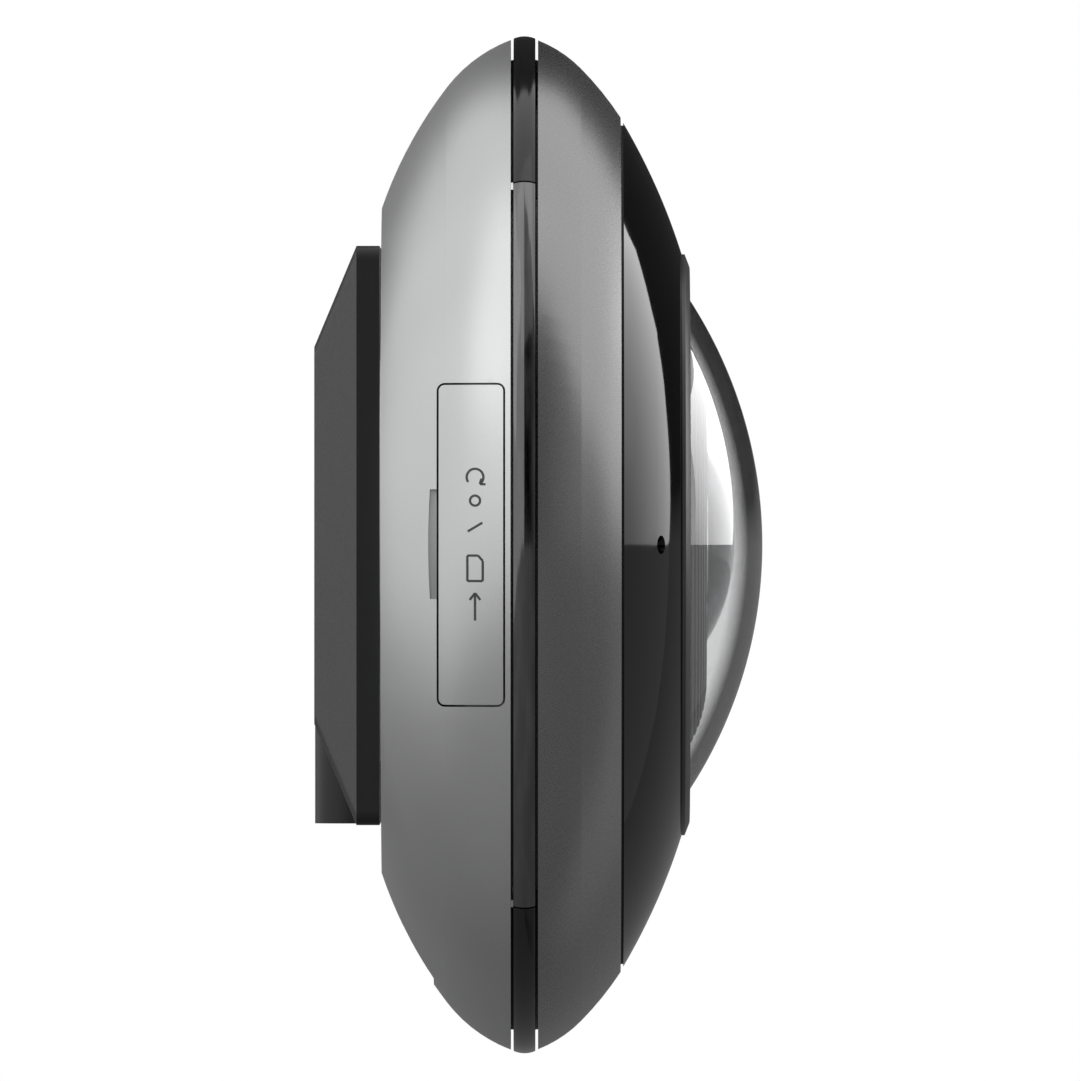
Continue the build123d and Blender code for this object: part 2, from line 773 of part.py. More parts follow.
# Rear housing: a cast shell with posts for the screws, a pad for the processor and the card bay
with BuildPart() as rear_housing:
    add(rear_envelope.part)
    with BuildSketch(Plane.XY):
        add(rear_region(rear_wall, rear_wall))
    revolve(axis=Axis.X, mode=Mode.SUBTRACT)
    with BuildSketch(Plane.XY):
        ring_section(rim_face - lip_thickness, rim_face, lip_inner_radius, lip_outer_radius)
    revolve(axis=Axis.X)
    add(bay_block.part)
    add(exit_block.part)
    with BuildSketch(Plane.YZ.offset(housing_inside - root_depth)):
        with post_places():
            Circle(post_radius)
    extrude(amount=core_web_start - housing_inside + root_depth)
    with BuildSketch(Plane.YZ.offset(housing_inside - root_depth)):
        with bayonet_screw_places():
            Circle(bayonet_boss_radius)
    extrude(amount=bayonet_boss_height + root_depth)
    with BuildSketch(Plane.YZ.offset(housing_inside - root_depth)):
        with Locations((processor_y, 0)):
            Rectangle(thermal_pad_size, thermal_pad_size)
    extrude(amount=pad_back - housing_inside + root_depth)
    add(door_seat.part, mode=Mode.SUBTRACT)
    add(finger_notch.part, mode=Mode.SUBTRACT)
    add(exit_recess.part, mode=Mode.SUBTRACT)
    with BuildSketch(Plane.XZ.offset(bay_floor_y)):
        with Locations((door_middle, 0)):
            Rectangle(bay_length, 2 * bay_half_height)
    extrude(amount=reach, mode=Mode.SUBTRACT)
    with BuildSketch(Plane.XZ.offset(bay_inside_y)):
        with Locations((card_x, card_z)):
            Rectangle(card_grip + 2 * slip_gap, card_width + 2 * card_slot_gap)
        with Locations((reset_x, reset_z)):
            Circle(reset_radius + thread_gap)
    extrude(amount=bay_floor_thickness, mode=Mode.SUBTRACT)
    with BuildSketch(Plane.YZ.offset(back_face)):
        with Locations((0, socket_z)):
            Rectangle(socket_width + 2 * slip_gap, socket_height + 2 * slip_gap)
    extrude(amount=rear_wall, mode=Mode.SUBTRACT)
    with BuildSketch(Plane.XY.offset(-exit_block_top)):
        with Locations((housing_inside + exit_slot_depth / 2, 0)):
            Rectangle(exit_slot_depth, exit_slot_width)
    extrude(amount=-reach, mode=Mode.SUBTRACT)
    with BuildSketch(Plane.YZ.offset(back_face)):
        with Locations((vent_offset, 0)):
            Circle(vent_radius + thread_gap)
    extrude(amount=vent_depth, mode=Mode.SUBTRACT)
    with BuildSketch(Plane.YZ.offset(back_face)):
        with Locations((vent_offset, 0)):
            Circle(vent_radius / 2)
    extrude(amount=rear_wall, mode=Mode.SUBTRACT)
    with BuildSketch(Plane.YZ.offset(back_face)):
        with post_places():
            Circle(housing_screw_radius + thread_gap)
    extrude(amount=core_web_start - back_face, mode=Mode.SUBTRACT)
    with BuildSketch(Plane.YZ.offset(back_face)):
        with post_places():
            Circle(housing_screw_head + slip_gap)
    extrude(amount=housing_counterbore, mode=Mode.SUBTRACT)
    with BuildSketch(Plane.YZ.offset(back_face)):
        with bayonet_screw_places():
            Circle(bayonet_screw_radius + thread_gap)
    extrude(amount=bayonet_screw_tip + screw_end_gap - back_face, mode=Mode.SUBTRACT)
rear_housing.part.label = "rear_housing"
export_step(rear_housing.part, "parts/rear_housing.step")

# Bayonet ring on the housing's back, with four lugs that turn in behind the bracket's tabs
with BuildPart() as bayonet_ring:
    with BuildSketch(Plane.YZ.offset(lug_back)):
        Circle(neck_radius)
        Circle(bayonet_bore_radius, mode=Mode.SUBTRACT)
    extrude(amount=back_face - lug_back)
    with BuildSketch(Plane.YZ.offset(lug_back)):
        with PolarLocations(0, bayonet_count, start_angle=tab_place):
            add(ring_sector(neck_middle, lug_radius, lug_angle))
    extrude(amount=lug_thickness)
    with BuildSketch(Plane.YZ.offset(lug_back)):
        with bayonet_screw_places():
            Circle(bayonet_screw_radius + thread_gap)
    extrude(amount=back_face - lug_back, mode=Mode.SUBTRACT)
    with BuildSketch(Plane.YZ.offset(lug_back)):
        with bayonet_screw_places():
            Circle(bayonet_screw_head + glue_gap)
    extrude(amount=bayonet_screw_head_height, mode=Mode.SUBTRACT)
bayonet_ring.part.label = "bayonet_ring"
export_step(bayonet_ring.part, "parts/bayonet_ring.step")

bayonet_screws = screw_group(
    bayonet_screw_places,
    bayonet_screw_seat,
    bayonet_screw_length,
    bayonet_screw_radius,
    bayonet_screw_head,
    bayonet_screw_head_height,
)
bayonet_screws.part.label = "bayonet_screws"
export_step(bayonet_screws.part, "parts/bayonet_screws.step")

housing_screws = screw_group(
    post_places,
    housing_screw_seat,
    core_web_end + housing_screw_grip - housing_screw_seat,
    housing_screw_radius,
    housing_screw_head,
    housing_screw_head_height,
)
housing_screws.part.label = "housing_screws"
export_step(housing_screws.part, "parts/housing_screws.step")

# Cover plate of the cable exit, set in below the housing's surface
with BuildPart() as exit_cover:
    with BuildSketch(Plane.XY.offset(-exit_block_top)):
        with Locations((exit_end - exit_depth / 2 - slip_gap, 0)):
            Rectangle(exit_depth - 2 * slip_gap, exit_width - 2 * slip_gap)
    extrude(amount=-reach)
    with BuildSketch(Plane.XY):
        add(rear_region(exit_inset + exit_cover_thickness - thread_gap))
    revolve(axis=Axis.X, mode=Mode.SUBTRACT)
    with BuildSketch(Plane.XY):
        add(rear_region(exit_inset))
    revolve(axis=Axis.X, mode=Mode.INTERSECT)
exit_cover.part.label = "exit_cover"
export_step(exit_cover.part, "parts/exit_cover.step")

# Breather vent in the housing's back
with BuildPart() as breather_vent:
    with BuildSketch(Plane.YZ.offset(back_face + vent_depth - vent_thickness)):
        with Locations((vent_offset, 0)):
            Circle(vent_radius)
    extrude(amount=vent_thickness)
breather_vent.part.label = "breather_vent"
export_step(breather_vent.part, "parts/breather_vent.step")

# Main board: a round board notched round the card bay, on four standoffs
with BuildPart() as main_board:
    with BuildSketch(Plane.YZ.offset(board_rear)):
        Circle(board_radius)
        with post_places():
            Circle(post_radius + board_hole_gap, mode=Mode.SUBTRACT)
        with standoff_places():
            Circle(small_screw_radius + thread_gap, mode=Mode.SUBTRACT)
        with Locations((-bay_inside_y + board_notch_gap - board_radius, 0)):
            Rectangle(2 * board_radius, 2 * (bay_block_half_height + board_notch_gap), mode=Mode.SUBTRACT)
    extrude(amount=board_thickness)
main_board.part.label = "main_board"
export_step(main_board.part, "parts/main_board.step")

board_screws = screw_group(
    standoff_places,
    board_rear,
    board_thickness + small_screw_grip,
    small_screw_radius,
    small_screw_head,
    small_screw_head_height,
)
board_screws.part.label = "board_screws"
export_step(board_screws.part, "parts/board_screws.step")

with BuildPart() as processor:
    with BuildSketch(Plane.YZ.offset(board_rear)):
        with Locations((processor_y, 0)):
            Rectangle(processor_size, processor_size)
    extrude(amount=-processor_height)
processor.part.label = "processor"
export_step(processor.part, "parts/processor.step")

with BuildPart() as thermal_pad:
    with BuildSketch(Plane.YZ.offset(board_rear - processor_height)):
        with Locations((processor_y, 0)):
            Rectangle(thermal_pad_size, thermal_pad_size)
    extrude(amount=-thermal_pad_thickness)
thermal_pad.part.label = "thermal_pad"
export_step(thermal_pad.part, "parts/thermal_pad.step")

with BuildPart() as memory_chips:
    with BuildSketch(Plane.YZ.offset(board_rear)):
        with Locations((processor_y, memory_offset), (processor_y, -memory_offset)):
            Rectangle(memory_width, memory_length)
    extrude(amount=-memory_height)
memory_chips.part.label = "memory_chips"
export_step(memory_chips.part, "parts/memory_chips.step")

with BuildPart() as capacitors:
    with BuildSketch(Plane.YZ.offset(board_rear)):
        with Locations(*capacitor_places):
            Circle(capacitor_radius)
    extrude(amount=-capacitor_height)
    chamfer(capacitors.faces().sort_by(Axis.X)[0:len(capacitor_places)].edges(), capacitor_chamfer)
capacitors.part.label = "capacitors"
export_step(capacitors.part, "parts/capacitors.step")

with BuildPart() as network_transformer:
    with BuildSketch(Plane.YZ.offset(board_rear)):
        with Locations((0, transformer_z)):
            Rectangle(transformer_width, transformer_length)
    extrude(amount=-transformer_height)
network_transformer.part.label = "network_transformer"
export_step(network_transformer.part, "parts/network_transformer.step")

with BuildPart() as power_inductor:
    with BuildSketch(Plane.YZ.offset(board_rear)):
        with Locations((inductor_y, inductor_z)):
            RectangleRounded(inductor_size, inductor_size, inductor_corner)
    extrude(amount=-inductor_height)
power_inductor.part.label = "power_inductor"
export_step(power_inductor.part, "parts/power_inductor.step")

# Network socket that faces the wall through the housing's back
with BuildPart() as network_socket:
    with BuildSketch(Plane.YZ.offset(socket_front)):
        with Locations((0, socket_z)):
            Rectangle(socket_width, socket_height)
    extrude(amount=board_rear - socket_front)
    with BuildSketch(Plane.YZ.offset(socket_front)):
        with Locations((0, socket_z)):
            Rectangle(socket_cavity_width, socket_cavity_height)
        with Locations((0, socket_z - socket_cavity_height / 2 - latch_step / 2)):
            Rectangle(latch_width, latch_step)
    extrude(amount=socket_cavity_depth, mode=Mode.SUBTRACT)
network_socket.part.label = "network_socket"
export_step(network_socket.part, "parts/network_socket.step")

with BuildPart() as socket_contacts:
    with BuildSketch(Plane.YZ.offset(socket_front + socket_cavity_depth - contact_length)):
        with Locations((0, socket_z + (socket_cavity_height - contact_thickness) / 2)):
            with GridLocations(contact_pitch, 0, contact_count, 1):
                Rectangle(contact_width, contact_thickness)
    extrude(amount=contact_length)
socket_contacts.part.label = "socket_contacts"
export_step(socket_contacts.part, "parts/socket_contacts.step")

# Memory card socket on the board, open towards the bay
with BuildPart() as card_socket:
    with BuildSketch(Plane.XZ.offset(card_socket_mouth)):
        with Locations((card_x, card_z)):
            Rectangle(card_case_depth, card_case_width)
    extrude(amount=-(card_socket_mouth - card_socket_end))
    with BuildSketch(Plane.XZ.offset(card_socket_mouth)):
        with Locations((card_x, card_z)):
            Rectangle(card_thickness + 2 * card_gap, card_width + 2 * card_gap)
    extrude(amount=-(card_socket_mouth - card_socket_end - card_socket_wall), mode=Mode.SUBTRACT)
card_socket.part.label = "card_socket"
export_step(card_socket.part, "parts/card_socket.step")

with BuildPart() as memory_card:
    with BuildSketch(Plane.XZ.offset(card_outer_y)):
        with Locations((card_x, card_z)):
            Rectangle(card_thickness, card_width)
    extrude(amount=-card_length)
    with BuildSketch(Plane.XZ.offset(card_outer_y)):
        with Locations((card_x, card_z)):
            Rectangle(card_grip, card_width)
    extrude(amount=-card_grip_length)
    fillet(memory_card.edges().filter_by(Axis.X).group_by(Axis.Y)[-1], card_corner)
memory_card.part.label = "memory_card"
export_step(memory_card.part, "parts/memory_card.step")

with BuildPart() as reset_switch:
    with BuildSketch(Plane.XZ.offset(reset_switch_face)):
        with Locations(((board_rear + reset_x - reset_switch_size / 2) / 2, reset_z)):
            Rectangle(board_rear - reset_x + reset_switch_size / 2, reset_switch_size)
    extrude(amount=-reset_switch_depth)
reset_switch.part.label = "reset_switch"
export_step(reset_switch.part, "parts/reset_switch.step")

with BuildPart() as reset_button:
    with BuildSketch(Plane.XZ.offset(reset_outer_y)):
        with Locations((reset_x, reset_z)):
            Circle(reset_radius)
    extrude(amount=-(reset_outer_y - reset_inner_y))
    with BuildSketch(Plane.XZ.offset(reset_flange_y)):
        with Locations((reset_x, reset_z)):
            Circle(reset_flange_radius)
    extrude(amount=-reset_flange_thickness)
    fillet(reset_button.faces().sort_by(Axis.Y)[0].edges(), reset_crown)
reset_button.part.label = "reset_button"
export_step(reset_button.part, "parts/reset_button.step")

# Card door: a slab of the casing's own surface with a skirt that slides into the bay
with BuildPart() as door_skirt:
    with BuildSketch(Plane.XZ.offset(door_skirt_y)):
        with Locations((door_middle, 0)):
            Rectangle(skirt_length, 2 * skirt_half_height)
            Rectangle(
                skirt_length - 2 * door_skirt_wall,
                2 * (skirt_half_height - door_skirt_wall),
                mode=Mode.SUBTRACT,
            )
    extrude(amount=reach)
    with BuildSketch(Plane.XY):
        add(rear_region(door_thickness - root_depth))
    revolve(axis=Axis.X, mode=Mode.INTERSECT)

with BuildPart() as card_door:
    with BuildSketch(Plane.XZ.offset(bay_floor_y)):
        with Locations((door_middle, 0)):
            RectangleRounded(door_length, 2 * door_half_height, door_corner)
    extrude(amount=reach)
    with BuildSketch(Plane.XY):
        add(rear_region(door_thickness))
    revolve(axis=Axis.X, mode=Mode.SUBTRACT)
    add(rear_envelope.part, mode=Mode.INTERSECT)
    add(door_skirt.part)
card_door.part.label = "card_door"
export_step(card_door.part, "parts/card_door.step")

with BuildPart() as door_seal:
    with BuildSketch(Plane.XZ.offset(bay_floor_y)):
        with Locations((door_middle, 0)):
            RectangleRounded(door_length - 2 * glue_gap, 2 * (door_half_height - glue_gap), door_corner)
            Rectangle(bay_length, 2 * bay_half_height, mode=Mode.SUBTRACT)
    extrude(amount=reach)
    with BuildSketch(Plane.XY):
        add(rear_region(door_thickness + door_seal_thickness))
    revolve(axis=Axis.X, mode=Mode.SUBTRACT)
    with BuildSketch(Plane.XY):
        add(rear_region(door_thickness))
    revolve(axis=Axis.X, mode=Mode.INTERSECT)
door_seal.part.label = "door_seal"
export_step(door_seal.part, "parts/door_seal.step")

# Core frame: the round chassis between the casings, with standoffs and bosses
with BuildPart() as core_frame:
    with BuildSketch(Plane.XY):
        ring_section(core_web_start, core_web_end, 0, core_rim_inner + root_depth)
        ring_section(core_rear, core_front, core_rim_inner, core_rim_outer)
    revolve(axis=Axis.X)
    with BuildSketch(Plane.YZ.offset(core_web_start)):
        with standoff_places():
            Circle(standoff_radius)
    extrude(amount=board_front - core_web_start)
    with BuildSketch(Plane.YZ.offset(core_web_end)):
        with post_places():
            Circle(post_boss_radius)
    extrude(amount=housing_screw_grip + screw_end_gap)
    with BuildSketch(Plane.YZ.offset(core_web_end)):
        with sensor_screw_places():
            Circle(sensor_boss_radius)
    extrude(amount=sensor_board_rear - core_web_end)
    with BuildSketch(Plane.YZ.offset(board_front)):
        with standoff_places():
            Circle(small_screw_radius + thread_gap)
    extrude(amount=small_screw_grip + screw_end_gap, mode=Mode.SUBTRACT)
    with BuildSketch(Plane.YZ.offset(core_web_start)):
        Rectangle(core_opening, core_opening)
        with post_places():
            Circle(housing_screw_radius + thread_gap)
        with boss_places():
            Circle(bezel_screw_radius + thread_gap)
        with frame_post_places():
            Circle(bezel_screw_radius + thread_gap)
        with sensor_screw_places():
            Circle(small_screw_radius + thread_gap)
    extrude(amount=frame_plate_rear - core_web_start, mode=Mode.SUBTRACT)
core_frame.part.label = "core_frame"
export_step(core_frame.part, "parts/core_frame.step")

with BuildPart() as rear_gasket:
    with BuildSketch(Plane.XY):
        ring_section(rim_face, core_rear, lip_inner_radius + glue_gap, core_rim_outer - glue_gap)
    revolve(axis=Axis.X)
rear_gasket.part.label = "rear_gasket"
export_step(rear_gasket.part, "parts/rear_gasket.step")

with BuildPart() as front_gasket:
    with BuildSketch(Plane.XY):
        ring_section(core_front, front_rim.X, lip_inner_radius + glue_gap, core_rim_outer - glue_gap)
    revolve(axis=Axis.X)
front_gasket.part.label = "front_gasket"
export_step(front_gasket.part, "parts/front_gasket.step")

# Trim between the casings: four arcs, smoked at the sides and glossy at top and bottom
with BuildSketch() as trim_profile:
    band_start = rear_rim.X + trim_groove
    band_end = front_rim.X - trim_groove
    band_edge = trim_radius - trim_crown
    with BuildLine():
        crown = ThreePointArc(
            (band_start, band_edge),
            ((band_start + band_end) / 2, trim_radius),
            (band_end, band_edge),
        )
        Polyline(
            crown @ 1,
            (band_end, trim_flange_outer),
            (front_rim.X, trim_flange_outer),
            (front_rim.X, trim_flange_inner),
            (rear_rim.X, trim_flange_inner),
            (rear_rim.X, trim_flange_outer),
            (band_start, trim_flange_outer),
            crown @ 0,
        )
    make_face()


def trim_arcs(middle):
    """Two facing quarter arcs of the trim, the first centred on the angle middle."""
    with BuildPart() as arcs:
        for turn in (0, 180):
            start = middle + turn - 45 + trim_joint / 2
            with BuildSketch(Plane.XY.rotated((start, 0, 0))):
                add(trim_profile.sketch)
            revolve(axis=Axis.X, revolution_arc=90 - trim_joint)
    return arcs


side_trim_arcs = trim_arcs(0)
side_trim_arcs.part.label = "side_trim_arcs"
export_step(side_trim_arcs.part, "parts/side_trim_arcs.step")

end_trim_arcs = trim_arcs(90)
end_trim_arcs.part.label = "end_trim_arcs"
export_step(end_trim_arcs.part, "parts/end_trim_arcs.step")

with BuildPart() as trim_clips:
    with BuildSketch(Plane.YZ.offset(rear_rim.X + (trim_groove - clip_thickness) / 2)):
        with PolarLocations(trim_flange_outer + clip_height / 2, 4, start_angle=45):
            Rectangle(clip_height, clip_width)
    extrude(amount=clip_thickness)
trim_clips.part.label = "trim_clips"
export_step(trim_clips.part, "parts/trim_clips.step")

# Front bezel: a shell with a lip for the window and bosses for its screws
with BuildPart() as front_bezel:
    with BuildSketch(Plane.XY):
        add(front_region(0))
    revolve(axis=Axis.X)
    with BuildSketch(Plane.XY):
        add(front_region(bezel_wall, bezel_lip_thickness))
    revolve(axis=Axis.X, mode=Mode.SUBTRACT)
    with BuildSketch(Plane.XY):
        ring_section(front_rim.X, front_rim.X + lip_thickness, lip_inner_radius, lip_outer_radius)
    revolve(axis=Axis.X)
    with BuildSketch(Plane.YZ.offset(core_web_end)):
        with boss_places():
            Circle(boss_radius)
    extrude(amount=front_edge.X - bezel_lip_thickness - core_web_end + root_depth)
    with BuildSketch(Plane.YZ.offset(front_edge.X)):
        Circle(bezel_lip_inner)
    extrude(amount=-bezel_lip_thickness, mode=Mode.SUBTRACT)
    with BuildSketch(Plane.YZ.offset(core_web_end)):
        with boss_places():
            Circle(bezel_screw_radius + thread_gap)
    extrude(amount=bezel_screw_length + screw_end_gap, mode=Mode.SUBTRACT)
front_bezel.part.label = "front_bezel"
export_step(front_bezel.part, "parts/front_bezel.step")

bezel_screws = screw_group(
    boss_places,
    core_web_start,
    core_web_thickness + bezel_screw_length,
    bezel_screw_radius,
    bezel_screw_head,
    bezel_screw_head_height,
)
bezel_screws.part.label = "bezel_screws"
export_step(bezel_screws.part, "parts/bezel_screws.step")

# Infrared window: a gloss ring that carries the casing's curve on to the dome
with BuildPart() as window_seal:
    with BuildSketch(Plane.XY):
        ring_section(front_edge.X, seat_x, bezel_lip_inner + window_gap, window_outer - window_gap)
    revolve(axis=Axis.X)
window_seal.part.label = "window_seal"
export_step(window_seal.part, "parts/window_seal.step")

with BuildPart() as infrared_window:
    with BuildSketch(Plane.XY):
        inner_window_arc = window_arc - window_wall
        inner_rim = Vector(seat_x, radius_at(seat_x, window_centre, inner_window_arc))
        inner_tip = Vector(radius_across(window_bore, window_centre, inner_window_arc), window_bore)
        with BuildLine():
            arc_about(window_centre, window_rim, window_tip)
            Line(window_tip, inner_tip)
            arc_about(window_centre, inner_tip, inner_rim)
            Line(inner_rim, window_rim)
        make_face()
    revolve(axis=Axis.X)
    with BuildSketch(Plane.YZ.offset(seat_x)):
        with Locations((-sound_hole_offset, 0)):
            Circle(sound_hole_radius)
    extrude(amount=dome_radius, mode=Mode.SUBTRACT)
infrared_window.part.label = "infrared_window"
export_step(infrared_window.part, "parts/infrared_window.step")

# Front frame: plate and collar that carry the light board, the lens surround and the dome
with BuildPart() as front_frame:
    with BuildSketch(Plane.XY):
        ring_section(frame_plate_rear, frame_plate_front, frame_bore, frame_outer)
        ring_section(frame_plate_rear, collar_end, collar_outer - collar_wall, collar_outer)
    revolve(axis=Axis.X)
    with BuildSketch(Plane.YZ.offset(core_web_end)):
        with frame_post_places():
            Circle(frame_post_radius)
    extrude(amount=frame_plate_rear - core_web_end + frame_plate_thickness / 2)
    with BuildSketch(Plane.YZ.offset(core_web_end)):
        with frame_post_places():
            Circle(bezel_screw_radius + thread_gap)
    extrude(amount=frame_screw_length + screw_end_gap, mode=Mode.SUBTRACT)
front_frame.part.label = "front_frame"
export_step(front_frame.part, "parts/front_frame.step")

frame_screws = screw_group(
    frame_post_places,
    core_web_start,
    core_web_thickness + frame_screw_length,
    bezel_screw_radius,
    bezel_screw_head,
    bezel_screw_head_height,
)
frame_screws.part.label = "frame_screws"
export_step(frame_screws.part, "parts/frame_screws.step")

# Light board with the infrared lamps, the light sensor and the microphone
with BuildPart() as led_board:
    with BuildSketch(Plane.XY):
        ring_section(frame_plate_front, led_face, led_board_inner, frame_outer)
    revolve(axis=Axis.X)
led_board.part.label = "led_board"
export_step(led_board.part, "parts/led_board.step")

with BuildPart() as infrared_leds:
    with BuildSketch(Plane.YZ.offset(led_face)):
        with PolarLocations(led_circle, led_count, start_angle=led_angle):
            Circle(led_radius)
    extrude(amount=led_height)
    fillet(infrared_leds.faces().group_by(Axis.X)[-1].edges(), led_rounding)
infrared_leds.part.label = "infrared_leds"
export_step(infrared_leds.part, "parts/infrared_leds.step")

with BuildPart() as light_sensor:
    with BuildSketch(Plane.YZ.offset(led_face)):
        with Locations((0, led_circle)):
            Rectangle(light_sensor_size, light_sensor_size)
    extrude(amount=light_sensor_height)
light_sensor.part.label = "light_sensor"
export_step(light_sensor.part, "parts/light_sensor.step")

with BuildPart() as microphone:
    with BuildSketch(Plane.YZ.offset(led_face)):
        with Locations((-sound_hole_offset, 0)):
            Circle(microphone_radius)
    extrude(amount=microphone_height)
microphone.part.label = "microphone"
export_step(microphone.part, "parts/microphone.step")

with BuildPart() as microphone_boot:
    with BuildSketch(Plane.YZ.offset(led_face)):
        with Locations((-sound_hole_offset, 0)):
            Circle(boot_radius)
    extrude(amount=boot_end - led_face)
    with BuildSketch(Plane.YZ.offset(led_face)):
        with Locations((-sound_hole_offset, 0)):
            Circle(microphone_radius + thread_gap)
    extrude(amount=microphone_height, mode=Mode.SUBTRACT)
    with BuildSketch(Plane.YZ.offset(led_face)):
        with Locations((-sound_hole_offset, 0)):
            Circle(boot_bore)
    extrude(amount=boot_end - led_face, mode=Mode.SUBTRACT)
microphone_boot.part.label = "microphone_boot"
export_step(microphone_boot.part, "parts/microphone_boot.step")

# Clear dome, clamped by its flange against the collar of the front frame
with BuildPart() as dome_cover:
    with BuildSketch(Plane.XY):
        flange_back = collar_end + dome_seal_thickness
        outer_foot = Vector(dome_flange_front, radius_at(dome_flange_front, dome_middle, dome_radius))
        inner_foot = Vector(flange_back, radius_at(flange_back, dome_middle, dome_radius - dome_wall))
        outer_apex = Vector(dome_centre + dome_radius, 0)
        inner_apex = Vector(dome_centre + dome_radius - dome_wall, 0)
        with BuildLine():
            arc_about(dome_middle, outer_apex, outer_foot)
            Polyline(
                outer_foot,
                (dome_flange_front, dome_flange_radius),
                (flange_back, dome_flange_radius),
                inner_foot,
            )
            arc_about(dome_middle, inner_foot, inner_apex)
            Line(inner_apex, outer_apex)
        make_face()
    revolve(axis=Axis.X)
dome_cover.part.label = "dome_cover"
export_step(dome_cover.part, "parts/dome_cover.step")

with BuildPart() as dome_seal:
    with BuildSketch(Plane.XY):
        seal_front = collar_end + dome_seal_thickness
        ring_section(collar_end, seal_front, collar_outer - collar_wall, dome_flange_radius)
    revolve(axis=Axis.X)
dome_seal.part.label = "dome_seal"
export_step(dome_seal.part, "parts/dome_seal.step")

with BuildPart() as dome_clamp_ring:
    with BuildSketch(Plane.XY):
        clear_dome = dome_radius + glue_gap
        clamp_inner_front = Vector(clamp_front, radius_at(clamp_front, dome_middle, clear_dome))
        clamp_inner_back = Vector(dome_flange_front, radius_at(dome_flange_front, dome_middle, clear_dome))
        with BuildLine():
            Polyline(
                clamp_inner_front,
                (clamp_front, clamp_face_radius),
                (clamp_chamfer_start, clamp_radius),
                (clamp_skirt_start, clamp_radius),
                (clamp_skirt_start, collar_outer + glue_gap),
                (dome_flange_front, collar_outer + glue_gap),
                clamp_inner_back,
            )
            arc_about(dome_middle, clamp_inner_back, clamp_inner_front)
        make_face()
    revolve(axis=Axis.X)
dome_clamp_ring.part.label = "dome_clamp_ring"
export_step(dome_clamp_ring.part, "parts/dome_clamp_ring.step")

# Black surround that fills the dome round the lens
with BuildPart() as lens_surround:
    with BuildSketch(Plane.XY):
        with BuildLine():
            flat_edge = Vector(surround_front, surround_flat)
            back = Vector(-surround_wall, 0)
            skirt_inner = surround_skirt - surround_wall
            shoulder_x = surround_foot.X - surround_wall
            ThreePointArc(flat_edge, surround_mid, surround_foot)
            Polyline(
                surround_foot,
                (shoulder_x, surround_skirt),
                (frame_plate_front, surround_skirt),
                (frame_plate_front, skirt_inner),
                (shoulder_x - surround_wall, skirt_inner),
                surround_foot + 2 * back,
            )
            inner_mid = surround_mid + back + back / 2
            ThreePointArc(surround_foot + 2 * back, inner_mid, flat_edge + back)
            Polyline(
                flat_edge + back,
                (surround_front - surround_wall, surround_bore),
                (surround_front, surround_bore),
                flat_edge,
            )
        make_face()
    revolve(axis=Axis.X)
lens_surround.part.label = "lens_surround"
export_step(lens_surround.part, "parts/lens_surround.step")

# Sensor board and image sensor
with BuildPart() as sensor_board:
    with BuildSketch(Plane.YZ.offset(sensor_board_rear)):
        Rectangle(sensor_board_size, sensor_board_size)
        with sensor_screw_places():
            Circle(small_screw_radius + thread_gap, mode=Mode.SUBTRACT)
    extrude(amount=board_thickness)
sensor_board.part.label = "sensor_board"
export_step(sensor_board.part, "parts/sensor_board.step")

with BuildPart() as image_sensor:
    with BuildSketch(Plane.YZ.offset(sensor_board_front)):
        Rectangle(sensor_size, sensor_size)
    extrude(amount=sensor_height)
image_sensor.part.label = "image_sensor"
export_step(image_sensor.part, "parts/image_sensor.step")

sensor_screws = screw_group(
    sensor_screw_places,
    mount_flange_front,
    mount_flange_front - core_web_start,
    small_screw_radius,
    small_screw_head,
    small_screw_head_height,
    way=-1,
)
sensor_screws.part.label = "sensor_screws"
export_step(sensor_screws.part, "parts/sensor_screws.step")

# Lens mount: flange, filter housing and the collar that the barrel screws into
with BuildPart() as lens_mount:
    with BuildSketch(Plane.YZ.offset(sensor_board_front)):
        Rectangle(sensor_board_size, sensor_board_size)
        Rectangle(mount_window, mount_window, mode=Mode.SUBTRACT)
        with sensor_screw_places():
            Circle(small_screw_radius + thread_gap, mode=Mode.SUBTRACT)
    extrude(amount=mount_flange_thickness)
    with BuildSketch(Plane.YZ.offset(mount_flange_front)):
        Rectangle(2 * mount_half_width, 2 * mount_half_height)
        with Locations((0, changer_bottom / 2)):
            Rectangle(2 * changer_half_width, -changer_bottom)
    extrude(amount=mount_front - mount_flange_front)
    with BuildSketch(Plane.YZ.offset(mount_front)):
        Circle(mount_collar_radius)
    extrude(amount=mount_collar_end - mount_front)
    with BuildSketch(Plane.YZ.offset(cavity_back)):
        Rectangle(2 * (filter_end + filter_clearance), filter_frame_height + 2 * filter_clearance)
        with Locations((0, (changer_bottom + mount_wall) / 2)):
            Rectangle(2 * (changer_half_width - mount_wall), -changer_bottom - mount_wall)
    extrude(amount=cavity_front - cavity_back, mode=Mode.SUBTRACT)
    with BuildSketch(Plane.YZ.offset(mount_flange_front)):
        Circle(light_path_radius)
    extrude(amount=mount_collar_end - mount_flange_front, mode=Mode.SUBTRACT)
    with BuildSketch(Plane.YZ.offset(barrel_start - screw_end_gap)):
        Circle(barrel_radius + thread_gap)
    extrude(amount=mount_collar_end - barrel_start + screw_end_gap, mode=Mode.SUBTRACT)
    with BuildSketch(Plane.YZ.offset(cavity_back)):
        with Locations((0, arm_pivot_z)):
            Circle(arm_shaft_radius + thread_gap)
    extrude(amount=mount_front - cavity_back, mode=Mode.SUBTRACT)
lens_mount.part.label = "lens_mount"
export_step(lens_mount.part, "parts/lens_mount.step")

